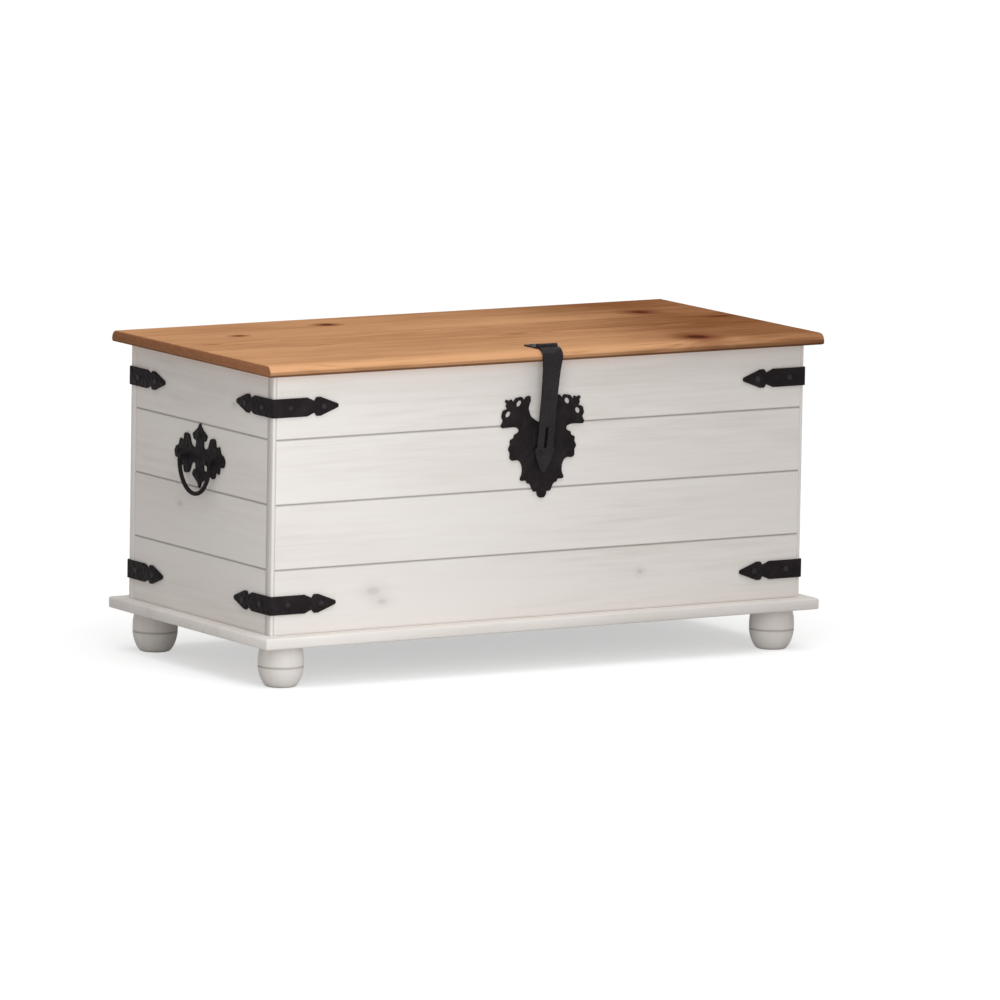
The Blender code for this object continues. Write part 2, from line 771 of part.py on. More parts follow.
def hasp_widths(straight):
    """(distance up from the tip, half width) of the straight leg, tip first."""
    spade, narrow = HASP_SPADE_WIDTH / 2, HASP_NARROW_WIDTH / 2
    widths = []
    for k in range(9):
        share = k / 8
        widths.append((HASP_SPADE_LENGTH * share, 0.0012 + (spade - 0.0012) * share ** 0.62))
    widths.append((HASP_SPADE_LENGTH + 0.0040, narrow))
    widths.append((straight - HASP_NARROW_BELOW_BEND, narrow))
    widths.append((straight - HASP_NECK_BELOW_BEND, HASP_NECK_WIDTH / 2))
    widths.append((straight, HASP_WIDTH / 2))
    return widths


def hasp_strap_mesh():
    stations, (tip_y, tip_z), lean = hasp_path()
    bend_y, bend_z, down = stations[-1]
    straight = math.dist((bend_y, bend_z), (tip_y, tip_z))
    profile = [(y, z, along, HASP_WIDTH / 2) for y, z, along in stations]
    for rise, half in reversed(hasp_widths(straight)[:-1]):
        share = 1 - rise / straight
        y = bend_y + (tip_y - bend_y) * share
        z = bend_z + (tip_z - bend_z) * share
        profile.append((y, z, down, half))
    start_y = profile[0][0] - (HINGE_KNUCKLE_RADIUS + GAP)
    profile[0] = (start_y, profile[0][1], profile[0][2], profile[0][3])
    rings = []
    for y, z, (ay, az), half in profile:
        y, z = y - hasp_pin_y, z - hasp_pin_z
        outer_y, outer_z = az * HASP_THICKNESS / 2, -ay * HASP_THICKNESS / 2
        ring = []
        for x, side in ((-half, -1), (half, -1), (half, 1), (-half, 1)):
            ring.append((x, y + side * outer_y, z + side * outer_z))
        rings.append(ring)
    return loft(rings), lean


def build_hasp():
    outer, middle = knuckle_spans(HASP_WIDTH)
    leaf = hinge_leaf(HASP_WIDTH, HASP_LEAF_LENGTH, HINGE_LEAF_THICKNESS, outer, -1)
    place = (0, hasp_pin_y - lid_pin_y, hasp_pin_z - lid_pin_z)
    piece("hasp_leaf", leaf, "black_iron", lid, place)
    pin = cylinder_x(HINGE_PIN_RADIUS, -HASP_WIDTH / 2 - GAP, HASP_WIDTH / 2 + GAP)
    piece("hasp_pin", pin, "black_iron", lid, place)

    strap, lean = hasp_strap_mesh()
    barrel = knuckle(middle[0], HASP_THICKNESS, -1)
    barrel.transform(Matrix.Rotation(math.pi, 4, "Z"))
    slot_rise = HASP_SLOT_ABOVE_TIP + HASP_SLOT_LENGTH / 2
    tip_y = -body_half_depth - plate_face - GAP - HASP_THICKNESS / 2 - hasp_pin_y
    tip_z = hasp_tip_z - hasp_pin_z
    slot_y = tip_y - slot_rise * math.sin(lean)
    slot_z = tip_z + slot_rise * math.cos(lean)
    half = HASP_SLOT_WIDTH / 2
    end = HASP_SLOT_LENGTH / 2
    corners = [(-half, -end), (half, -end), (half, end), (-half, end)]
    slot_outline = rounded([(x, y, half) for x, y in corners])
    slot = prism([slot_outline], -0.006, 0.006)
    slot.transform(Matrix((
        (1, 0, 0, 0),
        (0, -math.sin(lean), math.cos(lean), slot_y),
        (0, math.cos(lean), math.sin(lean), slot_z),
        (0, 0, 0, 1),
    )))
    slot.flip_normals()
    mesh = combine(strap, [barrel], [slot])
    piece("hasp_strap", mesh, "black_iron", hasp)


# End handles: a lobed plate with two ears, and a bail hung between them

HANDLE_HALF = [
    (0.0, 0.0, 0.0010),
    (0.0050, 0.0090, 0.0030),
    (0.0120, 0.0130, 0.0040),
    (0.0205, 0.0185, 0.0026),
    (0.0160, 0.0262, 0.0020),
    (0.0105, 0.0270, 0.0015),
    (0.0110, 0.0390, 0.0060),
    (0.0230, 0.0330, 0.0060),
    (0.0290, 0.0205, 0.0050),
    (0.0430, 0.0170, 0.0060),
    (0.0460, 0.0300, 0.0015),
    (0.0550, 0.0262, 0.0012),
    (0.0575, 0.0370, 0.0020),
    (0.0680, 0.0375, 0.0040),
    (0.0710, 0.0465, 0.0030),
    (0.0660, 0.0540, 0.0030),
    (0.0590, 0.0560, 0.0020),
    (0.0550, 0.0665, 0.0012),
    (0.0460, 0.0620, 0.0015),
    (0.0430, 0.0760, 0.0050),
    (0.0305, 0.0745, 0.0050),
    (0.0240, 0.0600, 0.0060),
    (0.0110, 0.0550, 0.0060),
    (0.0092, 0.0680, 0.0015),
    (0.0160, 0.0690, 0.0020),
    (0.0205, 0.0765, 0.0026),
    (0.0115, 0.0820, 0.0040),
    (0.0050, 0.0860, 0.0030),
    (0.0, 0.0940, 0.0010),
]


def handle_plate_mesh():
    """Plate in (Y, Z) with its back GAP off the wall and its front towards +X."""
    plate = prism([rounded(mirrored(HANDLE_HALF))], GAP, plate_face)
    plate = turned_along_x(plate)
    root = plate_face - 0.0008
    ears = []
    for centre in (-EAR_CENTRE, EAR_CENTRE):
        top = [math.pi / 2 - math.pi * k / 10 for k in range(11)]
        outline = [(root, PIVOT_RISE + EAR_RADIUS)]
        for angle in top:
            x = GAP + BAIL_STANDOFF + EAR_RADIUS * math.cos(angle)
            outline.append((x, PIVOT_RISE + EAR_RADIUS * math.sin(angle)))
        outline.append((root, PIVOT_RISE - EAR_RADIUS))
        bore = circle(GAP + BAIL_STANDOFF, PIVOT_RISE, BAIL_PEG_RADIUS + BAIL_CLEARANCE, 16)
        ear = prism([outline, bore], centre - EAR_THICKNESS / 2, centre + EAR_THICKNESS / 2)
        ear.transform(Matrix(((1, 0, 0, 0), (0, 0, 1, 0), (0, 1, 0, 0), (0, 0, 0, 1))))
        ear.flip_normals()
        ears.append(ear)
    return combine(plate, ears)


def bail_mesh():
    """The bail hanging in the plane X = 0 from a pivot at the origin."""
    corner = BAIL_CORNER_RADIUS
    straight = BAIL_HALF_WIDTH - corner
    half = [((BAIL_PEG_END, 0.0), (1.0, 0.0), BAIL_PEG_RADIUS)]
    for k in range(4):
        angle = math.pi / 2 * k / 3
        place = (straight + corner * math.sin(angle), corner * (math.cos(angle) - 1))
        radius = BAIL_PEG_RADIUS + (BAIL_RADIUS - BAIL_PEG_RADIUS) * k / 3
        half.append((place, (math.cos(angle), -math.sin(angle)), radius))
    rise = BAIL_DROP - corner
    for k in range(1, 10):
        angle = math.pi / 2 * k / 9
        cosine, sine = math.cos(angle), math.sin(angle)
        place = (BAIL_HALF_WIDTH * cosine, -corner - rise * sine)
        half.append((place, (-BAIL_HALF_WIDTH * sine, -rise * cosine), BAIL_RADIUS))
    other = [((-y, z), (dy, -dz), radius) for (y, z), (dy, dz), radius in reversed(half[:-1])]
    return tube(half + other)


def build_handles():
    for name, sign in (("left", -1), ("right", 1)):
        turned = (0, 0, math.pi if sign < 0 else 0)
        place = (sign * body_half_length, 0, handle_z)
        piece(f"{name}_handle_plate", handle_plate_mesh(), "black_iron", chest, place, turned)
        pivot = (sign * (body_half_length + GAP + BAIL_STANDOFF), 0, pivot_z)
        swing = empty(f"{name}_bail_joint", pivot, chest)
        piece(f"{name}_bail", bail_mesh(), "black_iron", swing)


clear_scene()
chest = empty("chest", (0, centring, 0))
lid = empty("lid_joint", (0, lid_pin_y, lid_pin_z), chest)
hasp = empty("hasp_joint", (0, hasp_pin_y - lid_pin_y, hasp_pin_z - lid_pin_z), lid)

build_base()
build_posts()
board_half_length = body_half_length - POST_FACE_STRIP - GAP
board_half_depth = body_half_depth - POST_END_STRIP - GAP
build_wall("front", body_half_depth, board_half_length, 0.0)
build_wall("back", body_half_depth, board_half_length, math.pi)
build_wall("right", body_half_length, board_half_depth, math.pi / 2)
build_wall("left", body_half_length, board_half_depth, -math.pi / 2)
build_lid()
build_lid_hinges()
build_brackets()
build_escutcheon()
build_keeper()
build_hasp()
build_handles()
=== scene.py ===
"""Blanket chest: whitewashed pine walls on bun feet, a honey-stained pine lid,
black iron straps, hasp, escutcheon and bail handles. Metres, +Z up, front -Y."""

import json
import math

import bmesh
import bpy
from mathutils import Matrix, Vector

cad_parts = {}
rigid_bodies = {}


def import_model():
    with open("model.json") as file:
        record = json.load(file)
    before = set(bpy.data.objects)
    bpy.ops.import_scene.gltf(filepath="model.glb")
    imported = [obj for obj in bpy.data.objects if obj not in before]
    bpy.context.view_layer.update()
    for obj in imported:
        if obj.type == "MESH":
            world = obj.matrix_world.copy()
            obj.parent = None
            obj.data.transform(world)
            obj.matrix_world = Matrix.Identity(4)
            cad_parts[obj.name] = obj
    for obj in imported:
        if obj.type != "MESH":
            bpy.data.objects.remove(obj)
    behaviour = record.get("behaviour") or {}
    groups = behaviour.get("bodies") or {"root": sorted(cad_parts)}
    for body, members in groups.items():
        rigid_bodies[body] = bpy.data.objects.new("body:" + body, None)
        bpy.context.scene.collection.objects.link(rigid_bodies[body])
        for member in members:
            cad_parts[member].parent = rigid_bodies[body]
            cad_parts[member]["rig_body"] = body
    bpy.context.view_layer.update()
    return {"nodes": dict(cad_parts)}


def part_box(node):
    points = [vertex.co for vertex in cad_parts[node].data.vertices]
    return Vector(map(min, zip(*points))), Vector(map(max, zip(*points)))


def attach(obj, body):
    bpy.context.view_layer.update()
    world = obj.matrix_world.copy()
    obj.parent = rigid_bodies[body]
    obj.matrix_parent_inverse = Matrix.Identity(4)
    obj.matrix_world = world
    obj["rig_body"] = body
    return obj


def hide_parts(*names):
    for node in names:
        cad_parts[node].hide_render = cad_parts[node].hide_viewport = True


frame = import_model()


# Base panel
# A flat pine board of the lid's own outline that carries the walls. It is
# whitewashed like them, rubbed thin along its eased arrises, and left bare
# where the walls enclose it.

class Field:
    """A value that changes over a surface. Arithmetic on it adds Math nodes."""

    def __init__(self, finish, socket):
        self.finish = finish
        self.socket = socket

    def __add__(self, other):
        return self.finish.math("ADD", self, other)

    __radd__ = __add__

    def __sub__(self, other):
        return self.finish.math("SUBTRACT", self, other)

    def __rsub__(self, other):
        return self.finish.math("SUBTRACT", other, self)

    def __mul__(self, other):
        return self.finish.math("MULTIPLY", self, other)

    __rmul__ = __mul__

    def __truediv__(self, other):
        return self.finish.math("DIVIDE", self, other)

    def __abs__(self):
        return self.finish.math("ABSOLUTE", self)


class Finish:
    """A material and the nodes that vary it over the piece."""

    def __init__(self, name, constants):
        self.material = bpy.data.materials.new(name)
        self.material.use_nodes = True
        self.tree = self.material.node_tree
        self.surface = self.tree.nodes["Principled BSDF"]
        for socket, value in constants.items():
            self.surface.inputs[socket].default_value = value

    def node(self, kind, settings=None, inputs=None, output=0):
        """Add any node: its settings first, then the values or links of its sockets."""
        made = self.tree.nodes.new(kind)
        for setting, value in (settings or {}).items():
            setattr(made, setting, value)
        for socket, value in (inputs or {}).items():
            if isinstance(value, Field):
                self.tree.links.new(value.socket, made.inputs[socket])
            else:
                made.inputs[socket].default_value = value
        return Field(self, made.outputs[output])

    def math(self, operation, *values):
        """One Math node on fields or numbers."""
        return self.node("ShaderNodeMath", {"operation": operation}, dict(enumerate(values)))

    def mix(self, share, under, over):
        """The colour under, with a share of the colour over laid on it."""
        colours = {
            0: share,
            6: under if isinstance(under, Field) else (*under, 1.0),
            7: over if isinstance(over, Field) else (*over, 1.0),
        }
        return self.node("ShaderNodeMix", {"data_type": "RGBA"}, colours, 2)

    def rise(self, value, low, high):
        """A smooth step from 0 below low to 1 above high."""
        limits = {"Value": value, "From Min": low, "From Max": high}
        return self.node("ShaderNodeMapRange", {"interpolation_type": "SMOOTHSTEP"}, limits)

    def place(self):
        """The object's own X, Y and Z."""
        found = self.node("ShaderNodeTexCoord", output="Object")
        split = self.node("ShaderNodeSeparateXYZ", inputs={0: found}).socket.node
        return [Field(self, split.outputs[axis]) for axis in "XYZ"]

    def noise(self, place, stretch, seed=0.0, detail=2.0):
        """Soft noise in 0 to 1, at stretch features a metre along each direction."""
        parts = {k: value * scale for k, (value, scale) in enumerate(zip(place, stretch))}
        vector = self.node("ShaderNodeCombineXYZ", inputs=parts)
        sockets = {"Vector": vector, "W": seed, "Scale": 1.0, "Detail": detail}
        return self.node("ShaderNodeTexNoise", {"noise_dimensions": "4D"}, sockets)

    def dress(self, colour, roughness, height, depth):
        """Feed the surface: colour, roughness and a relief of so many metres."""
        bump = self.node("ShaderNodeBump", inputs={"Strength": 1.0, "Distance": depth, "Height": height})
        for socket, field in (("Base Color", colour), ("Roughness", roughness), ("Normal", bump)):
            self.tree.links.new(field.socket, self.surface.inputs[socket])


def sawn_pine(finish, place, seed, knots=(), spacing=0.0046):
    """Growth rings, fibres, clouds, knots and their halos of a board sawn along place[0].

    Each knot is (along, across, half length, half width), and spacing parts the rings.
    """
    along, across, depth = place
    shift = finish.node("ShaderNodeTexWhiteNoise", {"noise_dimensions": "1D"}, {"W": seed}) - 0.5
    wander = finish.noise(place, (1.5, 2.0, 2.0), seed) - 0.5
    lift = finish.noise(place, (2.2, 1.0, 3.0), seed + 31.0) - 0.5
    ripple = finish.noise(place, (7.0, 30.0, 30.0), seed + 7.0) - 0.5
    side = across + shift * 0.12 + wander * 0.07
    deep = lift * 0.07 + 0.025
    radius = finish.math("SQRT", side * side + deep * deep)
    core, halo, swirl = 0.0, 0.0, 0.0
    for knot_along, knot_across, half_length, half_width in knots:
        run = (along - knot_along) / half_length
        off = (across - knot_across) / half_width
        far = finish.math("SQRT", run * run + off * off) + ripple * 0.9
        swirl = (1.0 - finish.rise(far, 0.3, 4.2)) * 2.0 + swirl
        core = (1.0 - finish.rise(far, 0.35, 1.10)) + core
        halo = (1.0 - finish.rise(far, 0.60, 2.8)) + halo
    ring = radius / spacing + ripple + swirl
    phase = finish.math("FRACT", ring)
    late = finish.rise(phase, 0.25, 0.88) * (1.0 - finish.rise(phase, 0.88, 1.0))
    late = late * finish.rise(finish.noise(place, (5.0, 22.0, 22.0), seed + 12.0), 0.30, 0.68)
    fibre = finish.noise(place, (15.0, 290.0, 290.0), seed, 4.0)
    cloud = finish.noise(place, (3.0, 14.0, 14.0), seed + 3.0)
    return late, fibre, cloud, core, halo


full_wash, rubbed_wash = (0.808, 0.757, 0.714), (0.624, 0.556, 0.502)
halo_grey, knot_grey = (0.57, 0.525, 0.485), (0.40, 0.36, 0.33)
wear_dirt_and_shade_brown = (0.20, 0.175, 0.155)
pale_pine, ringed_pine = (0.66, 0.46, 0.26), (0.40, 0.21, 0.085)


def whitewash(name, turn, seed_of, bare_of=None, wear_dirt_and_shade_of=None, knots=()):
    """White wash rubbed over pine.

    turn gives (along, across, depth) from X, Y and Z, seed_of a number for each board,
    bare_of where the wood was left bare, and the last where the wash is darkened by wear,
    dirt and painted shade.
    """
    finish = Finish(name, {"Specular IOR Level": 0.15})
    x, y, z = finish.place()
    place = turn(x, y, z)
    late, fibre, cloud, core, halo = sawn_pine(finish, place, seed_of(x, y, z), knots)
    patch = finish.rise(finish.noise(place, (2.2, 9.0, 9.0), 41.0, 1.0), 0.30, 0.72)
    streak = finish.noise(place, (8.0, 125.0, 125.0), 23.0, 3.0)
    thin = late * patch * 0.04 + (streak - 0.5) * (patch * 0.50 + 0.12)
    thin = thin + (fibre - 0.5) * 0.12 + (cloud - 0.5) * 0.50
    colour = finish.mix(finish.rise(thin, -0.12, 0.52), full_wash, rubbed_wash)
    if knots:
        colour = finish.mix(halo * 0.24, colour, halo_grey)
        colour = finish.mix(core * 0.30, colour, knot_grey)
    # Darker with wear and dirt, and with painted shade in the wall joints and along the walls' foot.
    if wear_dirt_and_shade_of:
        colour = finish.mix(wear_dirt_and_shade_of(finish, x, y, z) * 0.35, colour, wear_dirt_and_shade_brown)
    height = fibre * 0.32 + streak * 0.30
    rough = fibre * 0.16 + 0.56
    if bare_of:
        bare = finish.mix(late * 0.55 + fibre * 0.2, pale_pine, ringed_pine)
        colour = finish.mix(bare_of(finish, x, y, z), colour, bare)
    finish.dress(colour, rough, height, 0.00012)
    return finish.material


def dressed_copy(node, material, bevel=0.0, sharp=35.0):
    """A merged, smooth-shaded copy of a solid that stands for it in the scene."""
    source = frame["nodes"][node]
    shape = bmesh.new()
    shape.from_mesh(source.data)
    bmesh.ops.remove_doubles(shape, verts=shape.verts, dist=0.00001)
    bmesh.ops.dissolve_limit(
        shape, angle_limit=math.radians(0.4), verts=shape.verts, edges=shape.edges
    )
    mesh = bpy.data.meshes.new(f"{node}_finished")
    shape.to_mesh(mesh)
    shape.free()
    piece = bpy.data.objects.new(f"{node}_finished", mesh)
    bpy.context.collection.objects.link(piece)
    if bevel:
        edge = piece.modifiers.new("eased edges", "BEVEL")
        edge.width = bevel
        edge.segments = 2
        edge.limit_method = "ANGLE"
        edge.angle_limit = math.radians(sharp)
        settle(piece)
    piece.data.shade_smooth()
    piece.data.set_sharp_from_angle(angle=math.radians(sharp))
    piece.data.materials.clear()
    piece.data.materials.append(material)
    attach(piece, source["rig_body"])
    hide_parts(node)
    return piece


def settle(piece):
    """Turn what an object's modifiers make into its own plain mesh."""
    graph = bpy.context.evaluated_depsgraph_get()
    mesh = bpy.data.meshes.new_from_object(piece.evaluated_get(graph))
    piece.modifiers.clear()
    piece.data = mesh


base_low, base_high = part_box("base_panel")
inside_half_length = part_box("right_board_1")[0].x
inside_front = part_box("front_board_1")[1].y
inside_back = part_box("back_board_1")[0].y


def base_inside(finish, x, y, z):
    """The part of the base panel's top that the walls enclose."""
    within = 1.0 - finish.rise(abs(x), inside_half_length - 0.0008, inside_half_length + 0.0004)
    within = within * finish.rise(y, inside_front - 0.0004, inside_front + 0.0008)
    within = within * (1.0 - finish.rise(y, inside_back - 0.0008, inside_back + 0.0004))
    return within * finish.rise(z, base_high.z - 0.001, base_high.z - 0.0004)


def base_arrises(finish, x, y, z):
    """Where the wash is rubbed thin along the panel's arrises."""
    edge = finish.rise(abs(z - (base_low.z + base_high.z) / 2), 0.0068, 0.0081)
    return edge * finish.noise((x, y, z), (25.0, 25.0, 25.0)) * 0.35


base_board_width = 0.09
base_finish = whitewash(
    "whitewashed base",
    lambda x, y, z: (x, y, z),
    lambda x, y, z: 11.0 + x.finish.math("FLOOR", y / base_board_width) * 1.7,
    base_inside,
    base_arrises,
)
dressed_copy("base_panel", base_finish, sharp=50.0)


# Bun feet
# Four turned pine buns with one fine groove cut round the middle, whitewashed and
# dowelled into the corners of the base panel.

def turned(profile, sides, name):
    """A closed shape turned about Z from (radius, height) points, axis to axis."""
    shape = bmesh.new()
    rings = []
    for radius, height in profile:
        count = sides if radius > 1e-6 else 1
        angles = [2 * math.pi * k / sides for k in range(count)]
        rings.append([
            shape.verts.new((radius * math.cos(a), radius * math.sin(a), height)) for a in angles
        ])
    for lower, upper in zip(rings, rings[1:]):
        for k in range(sides):
            ahead = k + 1
            corners = [lower[k % len(lower)], lower[ahead % len(lower)]]
            corners += [upper[ahead % len(upper)], upper[k % len(upper)]]
            corners = list(dict.fromkeys(corners))
            if len(corners) > 2:
                shape.faces.new(corners)
    bmesh.ops.recalc_face_normals(shape, faces=shape.faces)
    mesh = bpy.data.meshes.new(name)
    shape.to_mesh(mesh)
    shape.free()
    mesh.shade_smooth()
    mesh.set_sharp_from_angle(angle=math.radians(40))
    piece = bpy.data.objects.new(name, mesh)
    bpy.context.collection.objects.link(piece)
    return piece


def setting_tree():
    """Geometry Nodes that set one shape on every point, each along its own facing."""
    tree = bpy.data.node_groups.new("shapes set on points", "GeometryNodeTree")
    sockets = (
        ("Points", "NodeSocketGeometry"),
        ("Shape", "NodeSocketObject"),
        ("Spin", "NodeSocketFloat"),
        ("Finish", "NodeSocketMaterial"),
    )
    for label, kind in sockets:
        tree.interface.new_socket(label, in_out="INPUT", socket_type=kind)
    tree.interface.new_socket("Shapes", in_out="OUTPUT", socket_type="NodeSocketGeometry")
    add, link = tree.nodes.new, tree.links.new
    given = add("NodeGroupInput")
    facing = add("GeometryNodeInputNamedAttribute")
    facing.data_type = "FLOAT_VECTOR"
    facing.inputs["Name"].default_value = "facing"
    align = add("FunctionNodeAlignRotationToVector")
    align.axis = "Z"
    link(facing.outputs["Attribute"], align.inputs["Vector"])
    angle = add("FunctionNodeRandomValue")
    angle.data_type = "FLOAT"
    angle.inputs["Seed"].default_value = 5
    link(given.outputs["Spin"], angle.inputs[3])
    spin = add("FunctionNodeAxisAngleToRotation")
    spin.inputs["Axis"].default_value = (0.0, 0.0, 1.0)
    link(angle.outputs[1], spin.inputs["Angle"])
    turned_to = add("FunctionNodeRotateRotation")
    turned_to.rotation_space = "LOCAL"
    link(align.outputs["Rotation"], turned_to.inputs["Rotation"])
    link(spin.outputs["Rotation"], turned_to.inputs["Rotate By"])
    shape = add("GeometryNodeObjectInfo")
    link(given.outputs["Shape"], shape.inputs["Object"])
    setting = add("GeometryNodeInstanceOnPoints")
    link(given.outputs["Points"], setting.inputs["Points"])
    link(shape.outputs["Geometry"], setting.inputs["Instance"])
    link(turned_to.outputs["Rotation"], setting.inputs["Rotation"])
    realize = add("GeometryNodeRealizeInstances")
    link(setting.outputs["Instances"], realize.inputs["Geometry"])
    paint = add("GeometryNodeSetMaterial")
    link(realize.outputs["Geometry"], paint.inputs["Geometry"])
    link(given.outputs["Finish"], paint.inputs["Material"])
    link(paint.outputs["Geometry"], add("NodeGroupOutput").inputs["Shapes"])
    return tree


set_on_points = setting_tree()


def with_inputs(piece, tree, values):
    """Put a node tree on an object, its inputs set by their identifiers."""
    modifier = piece.modifiers.new(tree.name, "NODES")
    modifier.node_group = tree
    for item in tree.interface.items_tree:
        if item.in_out == "INPUT" and item.name in values:
            modifier[item.identifier] = values[item.name]
    settle(piece)
    return piece


def set_shapes(name, shape, places, material, body, spin=0.0):
    """One plain mesh of a shape set at each (point, facing), riding on a body."""
    mesh = bpy.data.meshes.new(name)
    mesh.from_pydata([place for place, _ in places], [], [])
    facing = mesh.attributes.new("facing", "FLOAT_VECTOR", "POINT")
    facing.data.foreach_set("vector", [v for _, normal in places for v in normal])
    piece = bpy.data.objects.new(name, mesh)
    bpy.context.collection.objects.link(piece)
    with_inputs(piece, set_on_points, {"Shape": shape, "Spin": spin, "Finish": material})
    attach(piece, body)
    return piece


foot_low, foot_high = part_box("front_left_foot")
foot_radius = (foot_high.x - foot_low.x) / 2
foot_height = foot_high.z
foot_groove = 0.029
foot_centres = [
    (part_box(f"{face}_{end}_foot")[0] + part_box(f"{face}_{end}_foot")[1]) / 2
    for face in ("front", "back") for end in ("left", "right")
]
feet_middle_y = (foot_centres[0].y + foot_centres[3].y) / 2


def foot_outline():
    """Sole, belly, the sharp groove and the shoulder under the panel."""
    groove_half, groove_depth = 0.0011, 0.0014
    points = [(0.0, 0.0)]
    for k in range(13):
        height = (foot_groove - groove_half) * (k / 12) ** 1.5
        swell = (1 - (1 - height / foot_groove) ** 1.6) ** 0.625
        points.append((foot_radius * (0.60 + 0.40 * swell), height))
    points.append((foot_radius - groove_depth, foot_groove))
    for k in range(13):
        share = k / 12
        height = foot_groove + groove_half + (foot_height - foot_groove - groove_half) * share
        points.append((foot_radius * (1 - 0.13 * share ** 3), height))
    points.append((0.0, foot_height))
    return points


def foot_turn(x, y, z):
    """The grain stands upright, and each foot is seen from its own middle."""
    right_front, right_back = foot_centres[1], foot_centres[3]
    back = x.finish.math("SIGN", y - feet_middle_y)
    return z, abs(x) - right_front.x, (y - feet_middle_y) * back - (right_back.y - feet_middle_y)


def foot_groove_and_sole_darkening(finish, x, y, z):
    """Darker in the groove and towards the sole."""
    groove = 1.0 - finish.rise(abs(z - foot_groove), 0.0008, 0.0032)
    sole = 1.0 - finish.rise(z, 0.0008, 0.0045)
    return groove * 0.8 + sole * 0.5


foot_finish = whitewash(
    "whitewashed feet",
    foot_turn,
    lambda x, y, z: x.finish.math("SIGN", x) * 3.0 + x.finish.math("SIGN", y) * 1.3 + 40.0,
    None,
    foot_groove_and_sole_darkening,
)
foot_shape = turned(foot_outline(), 56, "foot shape")
feet = set_shapes(
    "bun_feet", foot_shape, [((c.x, c.y, 0.0), (0, 0, 1)) for c in foot_centres],
    foot_finish, "chest",
)
bpy.data.objects.remove(foot_shape)
feet.data.shade_smooth()
feet.data.set_sharp_from_angle(angle=math.radians(40))
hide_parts(*[f"{face}_{end}_foot" for face in ("front", "back") for end in ("left", "right")])


# Corner posts
# Four rebated pine posts. Only a narrow strip of each shows beside the boards,
# and its outer arris is rounded. The grain stands upright.

body_half_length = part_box("front_right_post")[1].x
body_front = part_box("front_left_post")[0].y
body_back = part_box("back_left_post")[1].y


def post_inside(finish, x, y, z):
    """What of a post faces the inside of the chest."""
    in_x = 1.0 - finish.rise(abs(x), inside_half_length + 0.0001, inside_half_length + 0.0004)
    in_y = finish.rise(y, inside_front - 0.0004, inside_front - 0.0001)
    in_y = in_y * (1.0 - finish.rise(y, inside_back + 0.0001, inside_back + 0.0004))
    return in_x * in_y


post_finish = whitewash(
    "whitewashed posts",
    lambda x, y, z: (z, x + y, x - y),
    lambda x, y, z: x.finish.math("SIGN", x) * 2.0 + x.finish.math("SIGN", y) * 0.7 + 20.0,
    post_inside,
)
for face in ("front", "back"):
    for end in ("left", "right"):
        dressed_copy(f"{face}_{end}_post", post_finish, sharp=50.0)


# Wall boards
# Sixteen tongue-and-groove pine boards, four to a wall, whitewashed outside and
# left bare inside. Dirt and painted shade darken the V-grooves, and painted shade
# darkens the board ends and the walls' foot.

wall_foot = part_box("front_board_1")[0].z
board_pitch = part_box("front_board_2")[0].z - wall_foot


def groove_dirt_and_shade(finish, z):
    """Dirt and painted shade near a joint between boards, and a fainter painted shadow where the wall
    meets the base panel.
    """
    row = (z - wall_foot) / board_pitch
    gap = abs(row - finish.math("ROUND", row)) * board_pitch
    joint = 1.0 - finish.rise(gap, 0.0009, 0.0027)
    joint = joint * finish.rise(row, 0.4, 0.6) * (1.0 - finish.rise(row, 3.4, 3.6))
    # A fainter painted shadow along the wall's foot, where it meets the base panel.
    return finish.math("MAXIMUM", joint, (1.0 - finish.rise(z - wall_foot, 0.0006, 0.0034)) * 0.55)


def board_seed(x, y, z, wall):
    """A number of its own for each board of a wall."""
    row = x.finish.math("FLOOR", (z - wall_foot) / board_pitch)
    return row * 3.1 + wall * 17.0


front_knots = (
    (-0.2743, 0.1292, 0.0150, 0.0078), (-0.2593, 0.1133, 0.0120, 0.0054),
    (0.1689, 0.1299, 0.0060, 0.0046),
)
back_knots = ((0.210, 0.1350, 0.0110, 0.0065), (-0.115, 0.2970, 0.0090, 0.0050))
left_knots = ((0.060, 0.2300, 0.0080, 0.0045), (-0.090, 0.3900, 0.0080, 0.0050))
right_knots = ((-0.055, 0.2020, 0.0095, 0.0055), (0.105, 0.3850, 0.0080, 0.0045))
half_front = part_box("front_board_1")[1].x
half_side = (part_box("right_board_1")[1].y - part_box("right_board_1")[0].y) / 2
side_middle = (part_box("right_board_1")[1].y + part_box("right_board_1")[0].y) / 2


def long_wall(wall, outward, outer, seed, knots):
    """The finish of the front (outward -1) or back (1) wall."""

    def bare(finish, x, y, z):
        return finish.rise((outer - y) * outward, 0.0022, 0.0030)

    def joint_dirt_and_shade(finish, x, y, z):
        # Painted shade along the board ends, where they meet the posts.
        ends = finish.rise(abs(x), half_front - 0.0012, half_front - 0.0002)
        return finish.math("MAXIMUM", groove_dirt_and_shade(finish, z), ends * 0.4)

    return whitewash(
        f"whitewashed {wall} boards",
        lambda x, y, z: (x, z, y),
        lambda x, y, z: board_seed(x, y, z, seed),
        bare, joint_dirt_and_shade, knots,
    )


def end_wall(wall, outward, seed, knots):
    """The finish of the left (outward -1) or right (1) wall."""

    def bare(finish, x, y, z):
        return finish.rise(body_half_length - x * outward, 0.0022, 0.0030)

    def joint_dirt_and_shade(finish, x, y, z):
        # Painted shade along the board ends, where they meet the posts.
        ends = finish.rise(abs(y - side_middle), half_side - 0.0014, half_side - 0.0002)
        return finish.math("MAXIMUM", groove_dirt_and_shade(finish, z), ends)

    return whitewash(
        f"whitewashed {wall} boards",
        lambda x, y, z: (y, z, x),
        lambda x, y, z: board_seed(x, y, z, seed),
        bare, joint_dirt_and_shade, knots,
    )


